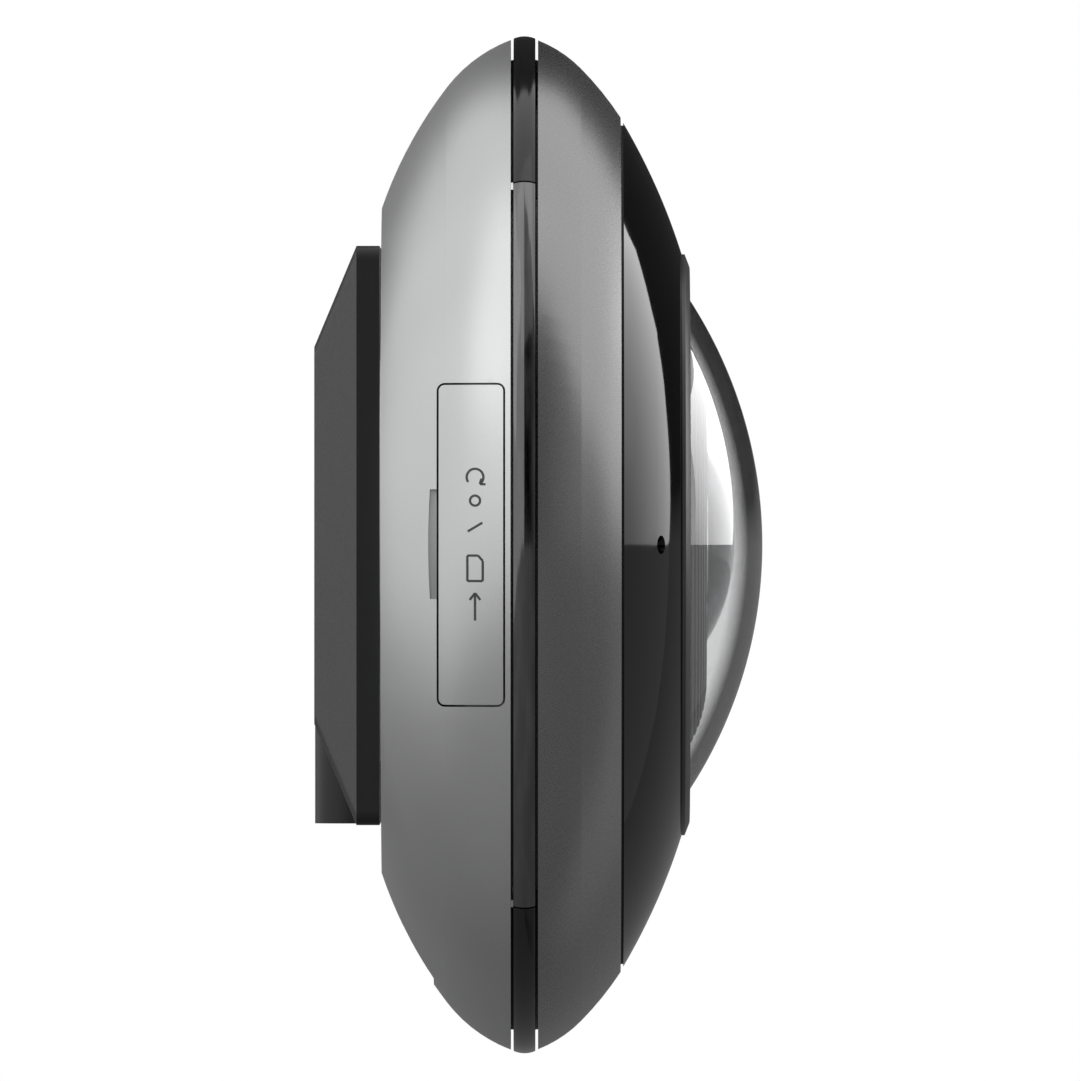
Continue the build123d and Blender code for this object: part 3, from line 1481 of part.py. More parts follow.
# Lens barrel and its glass
with BuildPart() as lens_barrel:
    with BuildSketch(Plane.XY):
        ring_section(barrel_start, middle_seat, rear_bore, barrel_radius)
        ring_section(middle_seat, head_start, middle_bore, barrel_radius)
        ring_section(head_start, head_seat, middle_bore, head_radius)
        ring_section(head_seat, head_end, head_bore, head_radius)
    revolve(axis=Axis.X)
lens_barrel.part.label = "lens_barrel"
export_step(lens_barrel.part, "parts/lens_barrel.step")

with BuildPart() as rear_lenses:
    with BuildSketch(Plane.YZ.offset(barrel_start)):
        Circle(rear_bore - thread_gap)
    extrude(amount=rear_lens_thickness)
    with BuildSketch(Plane.YZ.offset(middle_seat)):
        Circle(rear_bore - thread_gap)
    extrude(amount=-rear_lens_thickness)
rear_lenses.part.label = "rear_lenses"
export_step(rear_lenses.part, "parts/rear_lenses.step")

with BuildPart() as middle_lens:
    with BuildSketch(Plane.XY):
        middle_edge = Vector(middle_lens_apex - middle_lens_sag, middle_bore - thread_gap)
        middle_top = Vector(middle_lens_apex, 0)
        with BuildLine():
            arc_about(lens_centre(middle_lens_apex, middle_edge), middle_top, middle_edge)
            Polyline(middle_edge, (middle_seat, middle_edge.Y), (middle_seat, 0), middle_top)
        make_face()
    revolve(axis=Axis.X)
middle_lens.part.label = "middle_lens"
export_step(middle_lens.part, "parts/middle_lens.step")

with BuildPart() as front_lens:
    with BuildSketch(Plane.XY):
        front_top = Vector(front_lens_apex, 0)
        hollow_edge = Vector(head_end, front_lens_hollow)
        hollow_top = Vector(front_lens_inner_apex, 0)
        with BuildLine():
            arc_about(lens_centre(front_lens_apex, front_lens_edge), front_top, front_lens_edge)
            Polyline(front_lens_edge, (head_end, front_lens_edge.Y), hollow_edge)
            arc_about(lens_centre(front_lens_inner_apex, hollow_edge), hollow_edge, hollow_top)
            Line(hollow_top, front_top)
        make_face()
    revolve(axis=Axis.X)
front_lens.part.label = "front_lens"
export_step(front_lens.part, "parts/front_lens.step")

with BuildPart() as lens_retainer:
    with BuildSketch(Plane.XY):
        ring_section(head_end, surround_front, front_lens_edge.Y + glue_gap, head_radius)
    revolve(axis=Axis.X)
lens_retainer.part.label = "lens_retainer"
export_step(lens_retainer.part, "parts/lens_retainer.step")

# Filter changer: a frame with two glasses, moved sideways by an arm on a small motor
with BuildPart() as filter_frame:
    with BuildSketch(Plane.YZ.offset(filter_back)):
        with Locations((filter_middle, 0)):
            Rectangle(filter_travel + filter_glass + 2 * filter_rail, filter_frame_height)
            with GridLocations(filter_travel, 0, 2, 1):
                opening = filter_glass + 2 * thread_gap
                Rectangle(opening, opening, mode=Mode.SUBTRACT)
    extrude(amount=filter_frame_thickness)
    with BuildSketch(Plane.YZ.offset(filter_frame_front)):
        with Locations((filter_middle, (tab_bottom - filter_frame_height / 2 + root_depth) / 2)):
            Rectangle(2 * filter_tab_half_width, -tab_bottom - filter_frame_height / 2 + root_depth)
        with Locations((filter_middle, (slot_bottom + slot_top) / 2)):
            SlotOverall(slot_top - slot_bottom, 2 * slot_half_width, rotation=90, mode=Mode.SUBTRACT)
    extrude(amount=-filter_tab_thickness)
filter_frame.part.label = "filter_frame"
export_step(filter_frame.part, "parts/filter_frame.step")


def filter_pane(place):
    """One square glass of the filter frame, centred at that place across the axis."""
    with BuildPart() as pane:
        with BuildSketch(Plane.YZ.offset((filter_back + filter_frame_front - filter_glass_thickness) / 2)):
            with Locations((place, 0)):
                Rectangle(filter_glass, filter_glass)
        extrude(amount=filter_glass_thickness)
    return pane


cut_filter_glass = filter_pane(0)
cut_filter_glass.part.label = "cut_filter_glass"
export_step(cut_filter_glass.part, "parts/cut_filter_glass.step")

clear_filter_glass = filter_pane(filter_travel)
clear_filter_glass.part.label = "clear_filter_glass"
export_step(clear_filter_glass.part, "parts/clear_filter_glass.step")

with BuildPart() as filter_arm:
    with BuildSketch(Plane.YZ.offset(arm_back)):
        with Locations((0, arm_pivot_z)):
            Circle(arm_hub_radius)
        with Locations(((arm_pin_y / 2), (arm_pivot_z + arm_pin_z) / 2)):
            SlotCenterToCenter(arm_length, arm_width, rotation=90 - arm_swing)
    extrude(amount=arm_thickness)
    with BuildSketch(Plane.YZ.offset(arm_back)):
        with Locations((arm_pin_y, arm_pin_z)):
            Circle(arm_pin_radius)
    extrude(amount=filter_frame_front - arm_back)
    with BuildSketch(Plane.YZ.offset(arm_back)):
        with Locations((0, arm_pivot_z)):
            Circle(arm_shaft_radius)
    extrude(amount=arm_shaft_end - arm_back)
filter_arm.part.label = "filter_arm"
export_step(filter_arm.part, "parts/filter_arm.step")

with BuildPart() as filter_motor:
    with BuildSketch(Plane.YZ.offset(mount_front)):
        with Locations((0, arm_pivot_z)):
            RectangleRounded(motor_width, motor_height, motor_corner)
        with Locations((0, arm_pivot_z)):
            Circle(arm_shaft_radius + thread_gap, mode=Mode.SUBTRACT)
    extrude(amount=motor_depth)
filter_motor.part.label = "filter_motor"
export_step(filter_motor.part, "parts/filter_motor.step")

# Ribbon and its two connectors, between the main board and the sensor board
with BuildPart() as ribbon_connectors:
    with BuildSketch(Plane.YZ.offset(board_front)):
        with Locations((0, ribbon_z)):
            Rectangle(connector_width, connector_depth)
    extrude(amount=connector_height)
    with BuildSketch(Plane.YZ.offset(sensor_board_rear)):
        with Locations((0, ribbon_z)):
            Rectangle(connector_width, connector_depth)
    extrude(amount=-connector_height)
ribbon_connectors.part.label = "ribbon_connectors"
export_step(ribbon_connectors.part, "parts/ribbon_connectors.step")

with BuildPart() as ribbon_cable:
    with BuildSketch(Plane.XZ.offset(-ribbon_width / 2)):
        loop_back = board_front + connector_height
        loop_front = sensor_board_rear - connector_height
        loop_middle = (loop_back + loop_front) / 2
        loop_radius = (loop_front - loop_back) / 2
        with BuildLine():
            ThreePointArc(
                (loop_back, ribbon_z),
                (loop_middle, ribbon_z + loop_radius),
                (loop_front, ribbon_z),
            )
            Polyline(
                (loop_front, ribbon_z),
                (loop_front, ribbon_z - ribbon_tail),
                (loop_front - ribbon_thickness, ribbon_z - ribbon_tail),
                (loop_front - ribbon_thickness, ribbon_z),
            )
            ThreePointArc(
                (loop_front - ribbon_thickness, ribbon_z),
                (loop_middle, ribbon_z + loop_radius - ribbon_thickness),
                (loop_back + ribbon_thickness, ribbon_z),
            )
            Polyline(
                (loop_back + ribbon_thickness, ribbon_z),
                (loop_back + ribbon_thickness, ribbon_z - ribbon_tail),
                (loop_back, ribbon_z - ribbon_tail),
                (loop_back, ribbon_z),
            )
        make_face()
    extrude(amount=ribbon_width)
ribbon_cable.part.label = "ribbon_cable"
export_step(ribbon_cable.part, "parts/ribbon_cable.step")
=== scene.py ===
import math

import bpy
import numpy as np
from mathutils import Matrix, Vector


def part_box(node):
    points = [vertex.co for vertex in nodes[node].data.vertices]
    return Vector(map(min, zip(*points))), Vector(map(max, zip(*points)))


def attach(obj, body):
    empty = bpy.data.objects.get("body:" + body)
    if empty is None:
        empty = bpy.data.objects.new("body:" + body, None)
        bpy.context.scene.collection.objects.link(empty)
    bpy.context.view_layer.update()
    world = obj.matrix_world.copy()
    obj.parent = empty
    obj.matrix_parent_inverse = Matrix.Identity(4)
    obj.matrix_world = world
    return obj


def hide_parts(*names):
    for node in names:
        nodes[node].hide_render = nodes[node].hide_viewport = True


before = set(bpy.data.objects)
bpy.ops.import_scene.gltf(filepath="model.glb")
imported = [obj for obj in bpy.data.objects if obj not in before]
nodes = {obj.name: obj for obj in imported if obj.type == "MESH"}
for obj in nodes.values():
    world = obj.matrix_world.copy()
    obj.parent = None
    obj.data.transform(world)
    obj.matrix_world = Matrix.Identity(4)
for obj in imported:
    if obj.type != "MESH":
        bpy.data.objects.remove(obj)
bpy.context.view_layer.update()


# Wall bracket: a square plate with a sloping back, moulded in black plastic with a fine eroded
# texture. Four countersunk screws hold it to the wall, and its four tabs take the camera's bayonet.
bracket_black = (0.007, 0.007, 0.0073)
bracket_polish = 0.4
noise_low, noise_high = 0.3, 0.7
mm = 0.001


def new_finish(name, colour, roughness, metallic=0.0):
    """A material with one Principled shader, whose even values stand on its own sockets."""
    finish = bpy.data.materials.new(name)
    finish.use_nodes = True
    tree = finish.node_tree
    shader = tree.nodes["Principled BSDF"]
    shader.inputs["Base Color"].default_value = (*colour, 1.0)
    shader.inputs["Roughness"].default_value = roughness
    shader.inputs["Metallic"].default_value = metallic
    return finish, tree, shader


def wander(tree, patch, detail=2.0, stretch=(1.0, 1.0, 1.0)):
    """Noise on Object coordinates whose patches are patch mm across, times stretch on each axis."""
    place = tree.nodes.new("ShaderNodeTexCoord")
    spread = tree.nodes.new("ShaderNodeMapping")
    spread.inputs["Scale"].default_value = [1000.0 / (patch * length) for length in stretch]
    noise = tree.nodes.new("ShaderNodeTexNoise")
    noise.inputs["Scale"].default_value = 1.0
    noise.inputs["Detail"].default_value = detail
    tree.links.new(place.outputs["Object"], spread.inputs["Vector"])
    tree.links.new(spread.outputs["Vector"], noise.inputs["Vector"])
    return noise.outputs[0]


def tone(tree, socket, amount, dark, light, start=noise_low, end=noise_high):
    """Colours a socket from dark, where the amount is at start, to light, where it is at end."""
    ramp = tree.nodes.new("ShaderNodeValToRGB")
    ramp.color_ramp.elements[0].position = start
    ramp.color_ramp.elements[0].color = (*dark, 1.0)
    ramp.color_ramp.elements[1].position = end
    ramp.color_ramp.elements[1].color = (*light, 1.0)
    tree.links.new(amount, ramp.inputs["Fac"])
    tree.links.new(ramp.outputs["Color"], socket)


def polish(tree, shader, amount, fine, coarse):
    """Roughness that goes from fine, where the noise is low, to coarse, where it is high."""
    scale = tree.nodes.new("ShaderNodeMapRange")
    scale.inputs["From Min"].default_value = noise_low
    scale.inputs["From Max"].default_value = noise_high
    scale.inputs["To Min"].default_value = fine
    scale.inputs["To Max"].default_value = coarse
    tree.links.new(amount, scale.inputs["Value"])
    tree.links.new(scale.outputs["Result"], shader.inputs["Roughness"])


def relief(tree, shader, amount, depth):
    """A bump whose height is the amount times depth mm."""
    bump = tree.nodes.new("ShaderNodeBump")
    bump.inputs["Strength"].default_value = 1.0
    bump.inputs["Distance"].default_value = depth * mm
    tree.links.new(amount, bump.inputs["Height"])
    tree.links.new(bump.outputs["Normal"], shader.inputs["Normal"])


def skin(
    name, colour, roughness, grain, depth, patch, spread,
    metallic=0.0, stretch=(1, 1, 1), specular=0.5, coat=0.0,
):
    """A finish whose colour wanders by spread over patches of patch mm. Its grain, grain mm across times
    stretch and depth mm deep, also makes the roughness go a tenth either way."""
    finish, tree, shader = new_finish(name, colour, roughness, metallic)
    shader.inputs["Specular IOR Level"].default_value = specular
    shader.inputs["Coat Weight"].default_value = coat
    dark = [value * (1.0 - spread) for value in colour]
    light = [min(1.0, value * (1.0 + spread)) for value in colour]
    tone(tree, shader.inputs["Base Color"], wander(tree, patch), dark, light)
    fine = wander(tree, grain, detail=3.0, stretch=stretch)
    polish(tree, shader, fine, roughness * 0.9, roughness * 1.1)
    relief(tree, shader, fine, depth)
    return finish


def dress(finish, *names):
    """Gives CAD nodes their finish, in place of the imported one."""
    for name in names:
        mesh = nodes[name].data
        mesh.materials.clear()
        mesh.materials.append(finish)


eroded_black = skin(
    "eroded_black_plastic", bracket_black, bracket_polish,
    grain=0.35, depth=0.006, patch=30.0, spread=0.12, specular=0.45,
)
dress(eroded_black, "mount_bracket")
nodes["mount_bracket"].visible_glossy = False


# Bayonet ring: die-cast aluminium, blasted, with four lugs that turn in behind the bracket's tabs.
# Four pan head screws hold it to the back of the rear housing.
cast_grey = (0.52, 0.52, 0.53)
zinc_grey = (0.58, 0.58, 0.59)
sharp_from = 32.0
bayonet_screw_circle = 29.35
bayonet_screw_size = (1.25, 2.4, 1.3)
screw_sides, thread_steps = 24, 4
pitch_of_shank, ridge_of_shank, point_of_shank, point_radius = 0.36, 0.16, 0.8, 0.35
socket_of_head, socket_lobes, lobe_size = 0.46, 6, 8
pan_head = np.array([[0, 1.0], [0.45, 1.0], [0.75, 0.93], [0.93, 0.8], [1.0, 0.62]])
driver_socket = np.array([[1.0, 1.06], [0.92, 0.96], [0.3, 0.9]])

blasted_aluminium = skin(
    "blasted_aluminium", cast_grey, 0.45, grain=0.3, depth=0.008, patch=10.0, spread=0.08, metallic=0.9
)
dress(blasted_aluminium, "bayonet_ring")

plated_steel = skin(
    "zinc_plated_steel", zinc_grey, 0.28,
    grain=0.4, depth=0.002, patch=3.0, spread=0.12, metallic=1.0,
)


def box_mm(node):
    """The low and the high corner of a CAD node's box, in millimetres."""
    return [np.array(corner) * 1000 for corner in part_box(node)]


def piece_of(name, points, faces, finish):
    """A piece from its points in millimetres and its faces, turned outwards if its volume is negative."""
    mesh = bpy.data.meshes.new(name)
    mesh.from_pydata((np.asarray(points) * mm).tolist(), [], faces)
    mesh.update()
    mesh.calc_loop_triangles()
    corners = np.zeros(len(mesh.loop_triangles) * 3, np.int32)
    mesh.loop_triangles.foreach_get("vertices", corners)
    first, second, third = np.asarray(points)[corners.reshape(-1, 3)].transpose(1, 0, 2)
    if np.einsum("ij,ij->", first, np.cross(second, third)) < 0:
        mesh.flip_normals()
    mesh.shade_smooth()
    mesh.set_sharp_from_angle(angle=math.radians(sharp_from))
    mesh.materials.append(finish)
    piece = bpy.data.objects.new(name, mesh)
    bpy.context.scene.collection.objects.link(piece)
    return piece


def woven_faces(rows, columns, first=0, poles=None):
    """Quads between each row of a closed band and the next, each row a ring of columns points.
    With poles, a fan of triangles closes the first and the last row on those two points."""
    row = np.arange(rows - 1)[:, None]
    column = np.arange(columns)[None, :]
    after = (column + 1) % columns
    corners = (
        row * columns + column,
        row * columns + after,
        (row + 1) * columns + after,
        (row + 1) * columns + column,
    )
    faces = (np.stack(corners, -1).reshape(-1, 4) + first).tolist()
    if poles:
        start = np.arange(columns)
        after = (start + 1) % columns
        last = (rows - 1) * columns
        faces += np.stack((np.full(columns, poles[0]), after + first, start + first), -1).tolist()
        faces += np.stack(
            (np.full(columns, poles[1]), start + last + first, after + last + first), -1
        ).tolist()
    return faces


def screws(name, node, circle, angles, size, way=1):
    """Pan head screws that stand for a CAD node. Along the axis s and round it a, the thread's radius
    is the shank's less a ridge that climbs a pitch per turn, and the socket's swings with six lobes:
    radius = socket (1 + cos 6a / 8). Head and socket follow their profiles: depth and radius as shares
    of the head's height and of the head's or the socket's radius."""
    shank, head, height = size
    low, high = box_mm(node)
    seat = low[0] + height if way > 0 else high[0] - height
    length = high[0] - seat if way > 0 else seat - low[0]
    pitch = shank * pitch_of_shank
    turn = np.linspace(0, 2 * np.pi, screw_sides, endpoint=False)[None, :]
    along = np.linspace(length, 0.0, int(length / pitch * thread_steps))[:, None]
    climb = np.abs((along / pitch + turn / (2 * np.pi)) % 1.0 - 0.5) * 2
    taper = np.clip((length - along) / (shank * point_of_shank), point_radius, 1.0)
    thread = shank * (1.0 - ridge_of_shank * climb) * taper
    head_s = -pan_head[:, :1] * height + 0 * turn
    head_r = pan_head[:, 1:] * head + 0 * turn
    lobes = 1 + np.cos(socket_lobes * turn) / lobe_size
    socket_s = -driver_socket[:, :1] * height + 0 * turn
    socket_r = driver_socket[:, 1:] * (head * socket_of_head) * lobes
    s = np.vstack((along + 0 * turn, head_s, socket_s))
    r = np.vstack((thread, head_r, socket_r))
    rows = len(s)
    bearing = np.radians(angles)
    middle = np.stack((np.cos(bearing), np.sin(bearing)), -1) * circle
    body = np.stack((seat + way * s, r * np.cos(turn), r * np.sin(turn)), -1).reshape(-1, 3)
    ends = np.array([[seat + way * length, 0, 0], [seat - way * height * driver_socket[-1, 0], 0, 0]])
    one = np.vstack((body, ends))
    shift = np.concatenate((np.zeros((len(middle), 1)), middle), 1)
    points = (one[None] + shift[:, None]).reshape(-1, 3)
    faces = []
    for place in range(len(middle)):
        first = place * len(one)
        faces += woven_faces(rows, screw_sides, first, (first + len(body), first + len(body) + 1))
    piece = piece_of(name, points, faces, plated_steel)
    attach(piece, "camera")
    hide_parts(node)
    return piece


corner_angles = 45.0 + 90.0 * np.arange(4)
screws("bayonet_ring_screws", "bayonet_screws", bayonet_screw_circle, corner_angles, bayonet_screw_size)


# Rear housing: a cast aluminium shell in satin silver metallic paint, blasted bare inside. Its posts
# take four screws, and a round porous membrane in its back lets the air inside follow the weather.
silver = (0.57, 0.575, 0.575)
silver_polish = 0.37
flake, flake_share = 0.22, 0.35
paint_patch, paint_spread = 30.0, 0.07
peel_wave, peel_depth = 0.6, 0.001
housing_screw_circle = 45.0
housing_screw_size = (1.45, 2.9, 2.0)


def metallic_paint(name, colour, roughness, metallic=0.9):
    """Sprayed metallic paint: the flakes lighten and darken the colour by up to a fourteenth on top of a
    wide soft wander, and an orange peel of 0.6 mm waves moves the surface by a thousandth of a mm."""
    finish, tree, shader = new_finish(name, colour, roughness, metallic)
    mix = tree.nodes.new("ShaderNodeMath")
    mix.operation = "MULTIPLY_ADD"
    mix.inputs[1].default_value = flake_share
    tree.links.new(wander(tree, flake, detail=1.0), mix.inputs[0])
    tree.links.new(wander(tree, paint_patch, detail=1.0), mix.inputs[2])
    dark = [value * (1.0 - paint_spread) for value in colour]
    light = [value * (1.0 + paint_spread) for value in colour]
    tone(tree, shader.inputs["Base Color"], mix.outputs[0], dark, light, start=0.4, end=0.95)
    polish(tree, shader, wander(tree, flake, detail=1.0), roughness * 0.95, roughness * 1.05)
    relief(tree, shader, wander(tree, peel_wave), peel_depth)
    return finish


silver_paint = metallic_paint("silver_metallic_paint", silver, silver_polish)
dress(silver_paint, "rear_housing")
screws("rear_housing_screws", "housing_screws", housing_screw_circle, corner_angles, housing_screw_size)

vent_white = skin("porous_membrane", (0.7, 0.7, 0.69), 0.85, grain=0.25, depth=0.04, patch=2.0, spread=0.1)
dress(vent_white, "breather_vent")


# Cable exit cover: a painted plate set in below the housing's surface at the bottom, pressed into its
# recess and broken out where the cable leaves sideways along the wall.
dress(silver_paint, "exit_cover")


# Main board: a round glass fibre board under green solder mask, on four standoffs of the core frame.
# The parts that it carries are moulded black, drawn from sheet or wound.
mask_green = (0.012, 0.085, 0.035)
track_green = (0.03, 0.17, 0.07)
track_scale, track_width, track_depth = 110.0, 0.03, 0.03
board_screw_circle = 50.0
board_screw_size = (1.0, 2.4, 1.6)
board_angles = 22.5 + 90.0 * np.arange(4)

solder_mask, tree, shader = new_finish("green_solder_mask", mask_green, 0.35)
place = tree.nodes.new("ShaderNodeTexCoord")
turned = tree.nodes.new("ShaderNodeMapping")
turned.inputs["Rotation"].default_value = (0.0, math.radians(90.0), 0.0)
tracks = tree.nodes.new("ShaderNodeTexBrick")
tracks.inputs["Scale"].default_value = track_scale
tracks.inputs["Mortar Size"].default_value = track_width
tracks.inputs["Color1"].default_value = (*mask_green, 1.0)
tracks.inputs["Color2"].default_value = (*[value * 0.8 for value in mask_green], 1.0)
tracks.inputs["Mortar"].default_value = (*track_green, 1.0)
tree.links.new(place.outputs["Object"], turned.inputs["Vector"])
tree.links.new(turned.outputs["Vector"], tracks.inputs["Vector"])
tree.links.new(tracks.outputs["Color"], shader.inputs["Base Color"])
relief(tree, shader, tracks.outputs["Fac"], track_depth)
dress(solder_mask, "main_board", "led_board", "sensor_board")
screws("main_board_screws", "board_screws", board_screw_circle, board_angles, board_screw_size)

chip_black = skin(
    "chip_casing", (0.035, 0.035, 0.037), 0.55, grain=0.12, depth=0.006, patch=4.0, spread=0.2
)
dress(chip_black, "processor", "memory_chips", "network_transformer", "reset_switch")
dress(chip_black, "filter_motor", "microphone")
wound_black = skin("ferrite", (0.05, 0.048, 0.046), 0.6, grain=0.4, depth=0.02, patch=2.0, spread=0.25)
dress(wound_black, "power_inductor")
silicone_pad = skin(
    "thermal_silicone", (0.36, 0.39, 0.43), 0.75, grain=0.5, depth=0.02, patch=4.0, spread=0.1
)
dress(silicone_pad, "thermal_pad")
drawn_can = skin(
    "drawn_aluminium", (0.74, 0.74, 0.75), 0.24,
    grain=0.2, depth=0.002, patch=3.0, spread=0.06, metallic=1.0, stretch=(8, 1, 1),
)
dress(drawn_can, "capacitors")


# Sockets and card: the network socket and the card socket are folded from tinned sheet, with gold
# plated springs. The card is moulded black, and the reset button is a black plunger in the bay.
tinned_sheet = skin(
    "tinned_sheet", (0.62, 0.62, 0.62), 0.3,
    grain=0.3, depth=0.003, patch=4.0, spread=0.08, metallic=1.0, stretch=(12, 1, 1),
)
dress(tinned_sheet, "network_socket", "card_socket")
gold_plate = skin(
    "gold_plate", (0.83, 0.62, 0.28), 0.22, grain=0.3, depth=0.002, patch=2.0, spread=0.06, metallic=1.0
)
dress(gold_plate, "socket_contacts")
card_black = skin(
    "card_moulding", (0.02, 0.02, 0.021), 0.42, grain=0.2, depth=0.004, patch=4.0, spread=0.15
)
dress(card_black, "memory_card")
plunger_black = skin(
    "plunger_moulding", (0.022, 0.022, 0.022), 0.5, grain=0.3, depth=0.004, patch=4.0, spread=0.15
)
dress(plunger_black, "reset_button")


# Core frame: the round chassis between the two casings, moulded in grey glass filled plastic, with a
# silicone gasket on each face. The front casing's screws pass through it.
filled_grey = skin(
    "glass_filled_grey", (0.17, 0.17, 0.175), 0.55, grain=0.6, depth=0.01, patch=10.0, spread=0.12
)
dress(filled_grey, "core_frame")
silicone_black = skin(
    "silicone_rubber", (0.028, 0.028, 0.028), 0.62, grain=0.4, depth=0.008, patch=5.0, spread=0.15
)
dress(silicone_black, "rear_gasket", "front_gasket", "window_seal", "dome_seal", "door_seal")
dress(silicone_black, "microphone_boot")


# Trim: four arcs that show as a narrow band between two grooves. The side arcs are smoked plastic,
# streaked lighter along the arc by painted reflection; the end arcs are black and polished. Steel clips
# hold them at the four joints.
trim_low, trim_high = box_mm("side_trim_arcs")
trim_back, trim_front, trim_crown = trim_low[0], trim_high[0], trim_high[1]
trim_groove = 0.4
trim_edge_drop = 0.35
trim_band = 3.6
trim_flange = 3.4
trim_joint = 0.25
trim_arc = 90.0
trim_steps, crown_steps, crown_reach = 73, 7, 4.0
edge_easing = 0.12
smoke_black = (0.003, 0.003, 0.003)
painted_reflection_grey = (0.06, 0.06, 0.061)
reflection_streak_stretch = (90.0, 700.0, 1.0)


def arc_outline(middle, start, end, steps):
    """Points from start to end about middle: angle and radius both go evenly from one to the other."""
    middle, start, end = (np.asarray(point, float) for point in (middle, start, end))
    share = np.linspace(0.0, 1.0, steps)
    angle = np.arctan2(*(start - middle)[::-1]) * (1 - share) + np.arctan2(*(end - middle)[::-1]) * share
    reach = np.linalg.norm(start - middle) * (1 - share) + np.linalg.norm(end - middle) * share
    return middle + np.stack((reach * np.cos(angle), reach * np.sin(angle)), -1)


def eased(outline, easing, steps=4):
    """A closed outline whose corners are cut back by easing and joined by a curve through the corner's
    weight: (1-t)^2 p + 2t(1-t) corner + t^2 q, p and q lying on the two sides."""
    corner = np.asarray(outline, float)
    back = np.roll(corner, 1, 0) - corner
    onward = np.roll(corner, -1, 0) - corner
    back_length = np.linalg.norm(back, axis=1, keepdims=True)
    onward_length = np.linalg.norm(onward, axis=1, keepdims=True)
    cut = np.minimum(easing, 0.4 * np.minimum(back_length, onward_length))
    start = (corner + back / back_length * cut)[:, None]
    end = (corner + onward / onward_length * cut)[:, None]
    share = np.linspace(0.0, 1.0, steps)[None, :, None]
    curve = (1 - share) ** 2 * start + 2 * share * (1 - share) * corner[:, None] + share**2 * end
    return curve.reshape(-1, 2)


def carried_round(outline, first, last, steps):
    """An outline of (x, r) carried round the optical axis: at angle a it lies at (x, -r cos a, r sin a)."""
    angle = np.radians(np.linspace(first, last, steps))[:, None]
    x, r = outline[:, 0][None, :], outline[:, 1][None, :]
    return np.stack((x + 0 * angle, -r * np.cos(angle), r * np.sin(angle)), -1)


def trim_pair(name, middle, finish):
    """Two facing quarter arcs of the trim: the band's outline carried round, with flat ends. Each has a
    map of its surface in metres, along the arc and across the outline."""
    crown = arc_outline(
        ((trim_back + trim_front) / 2, trim_crown - crown_reach),
        (trim_back + trim_groove, trim_crown - trim_edge_drop),
        (trim_front - trim_groove, trim_crown - trim_edge_drop),
        crown_steps,
    )
    crown[:, 1] = trim_crown - trim_edge_drop * np.linspace(-1.0, 1.0, crown_steps) ** 2
    flange_top = trim_crown - trim_band
    foot = np.array(
        [
            [trim_front - trim_groove, flange_top],
            [trim_front, flange_top],
            [trim_front, flange_top - trim_flange],
            [trim_back, flange_top - trim_flange],
            [trim_back, flange_top],
            [trim_back + trim_groove, flange_top],
        ]
    )
    outline = eased(np.vstack((crown, foot)), edge_easing, steps=3)
    lengths = np.linalg.norm(np.roll(outline, -1, 0) - outline, axis=1)
    across = np.concatenate(([0.0], np.cumsum(lengths)[:-1]))
    columns = len(outline)
    points, faces, spots = [], [], []
    for turn in (0.0, 180.0):
        first = middle + turn - trim_arc / 2 + trim_joint / 2
        last = middle + turn + trim_arc / 2 - trim_joint / 2
        band = carried_round(outline, first, last, trim_steps)
        start = len(points) * trim_steps * columns
        end = start + trim_steps * columns
        faces += woven_faces(trim_steps, columns, start)
        faces.append(list(range(start, start + columns))[::-1])
        faces.append(list(range(end - columns, end)))
        arc_length = np.radians(np.linspace(first, last, trim_steps))[:, None] * trim_crown
        spots.append(np.stack((arc_length + 0 * across, across + 0 * arc_length), -1).reshape(-1, 2))
        points.append(band.reshape(-1, 3))
    piece = piece_of(name, np.vstack(points), faces, finish)
    index = np.zeros(len(piece.data.loops), np.int32)
    piece.data.loops.foreach_get("vertex_index", index)
    layer = piece.data.uv_layers.new(name="surface")
    layer.data.foreach_set("uv", (np.vstack(spots)[index] * mm).ravel())
    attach(piece, "camera")
    return piece


smoked_plastic, tree, shader = new_finish("smoked_plastic", (0.03, 0.03, 0.031), 0.2)
shader.inputs["Coat Weight"].default_value = 1.0
shader.inputs["Coat IOR"].default_value = 1.9
shader.inputs["Coat Roughness"].default_value = 0.1
surface = tree.nodes.new("ShaderNodeUVMap")
surface.uv_map = "surface"
drawn_out = tree.nodes.new("ShaderNodeMapping")
drawn_out.inputs["Scale"].default_value = reflection_streak_stretch
# Painted reflection: lighter streaks along the arc in the base colour stand for blurred reflections.
painted_reflection_streaks = tree.nodes.new("ShaderNodeTexNoise")
painted_reflection_streaks.inputs["Scale"].default_value = 1.0
painted_reflection_streaks.inputs["Detail"].default_value = 3.0
tree.links.new(surface.outputs["UV"], drawn_out.inputs["Vector"])
tree.links.new(drawn_out.outputs["Vector"], painted_reflection_streaks.inputs["Vector"])
tone(tree, shader.inputs["Base Color"], painted_reflection_streaks.outputs[0], smoke_black, painted_reflection_grey, start=0.42, end=0.8)
side_trim = trim_pair("smoked_side_trim", 0.0, smoked_plastic)
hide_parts("side_trim_arcs")

black_gloss = skin(
    "polished_black_plastic", (0.012, 0.012, 0.012), 0.12, grain=4.0, depth=0.003, patch=10.0, spread=0.15
)
end_trim = trim_pair("polished_end_trim", 90.0, black_gloss)
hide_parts("end_trim_arcs")

spring_steel = skin(
    "spring_steel", (0.66, 0.66, 0.66), 0.2, grain=0.3, depth=0.002, patch=2.0, spread=0.1, metallic=1.0
)
dress(spring_steel, "trim_clips")


# Front bezel: a cast shell in a darker and slightly glossier metallic paint, screwed on from inside
# through the core frame. The place near its lower front edge where makers print a name stays bare.
dark_silver = (0.34, 0.34, 0.342)
dark_silver_polish = 0.27
bezel_screw_circle = 60.0
bezel_screw_size = (1.25, 2.5, 1.8)
bezel_angles = 30.0 + 60.0 * np.arange(6)

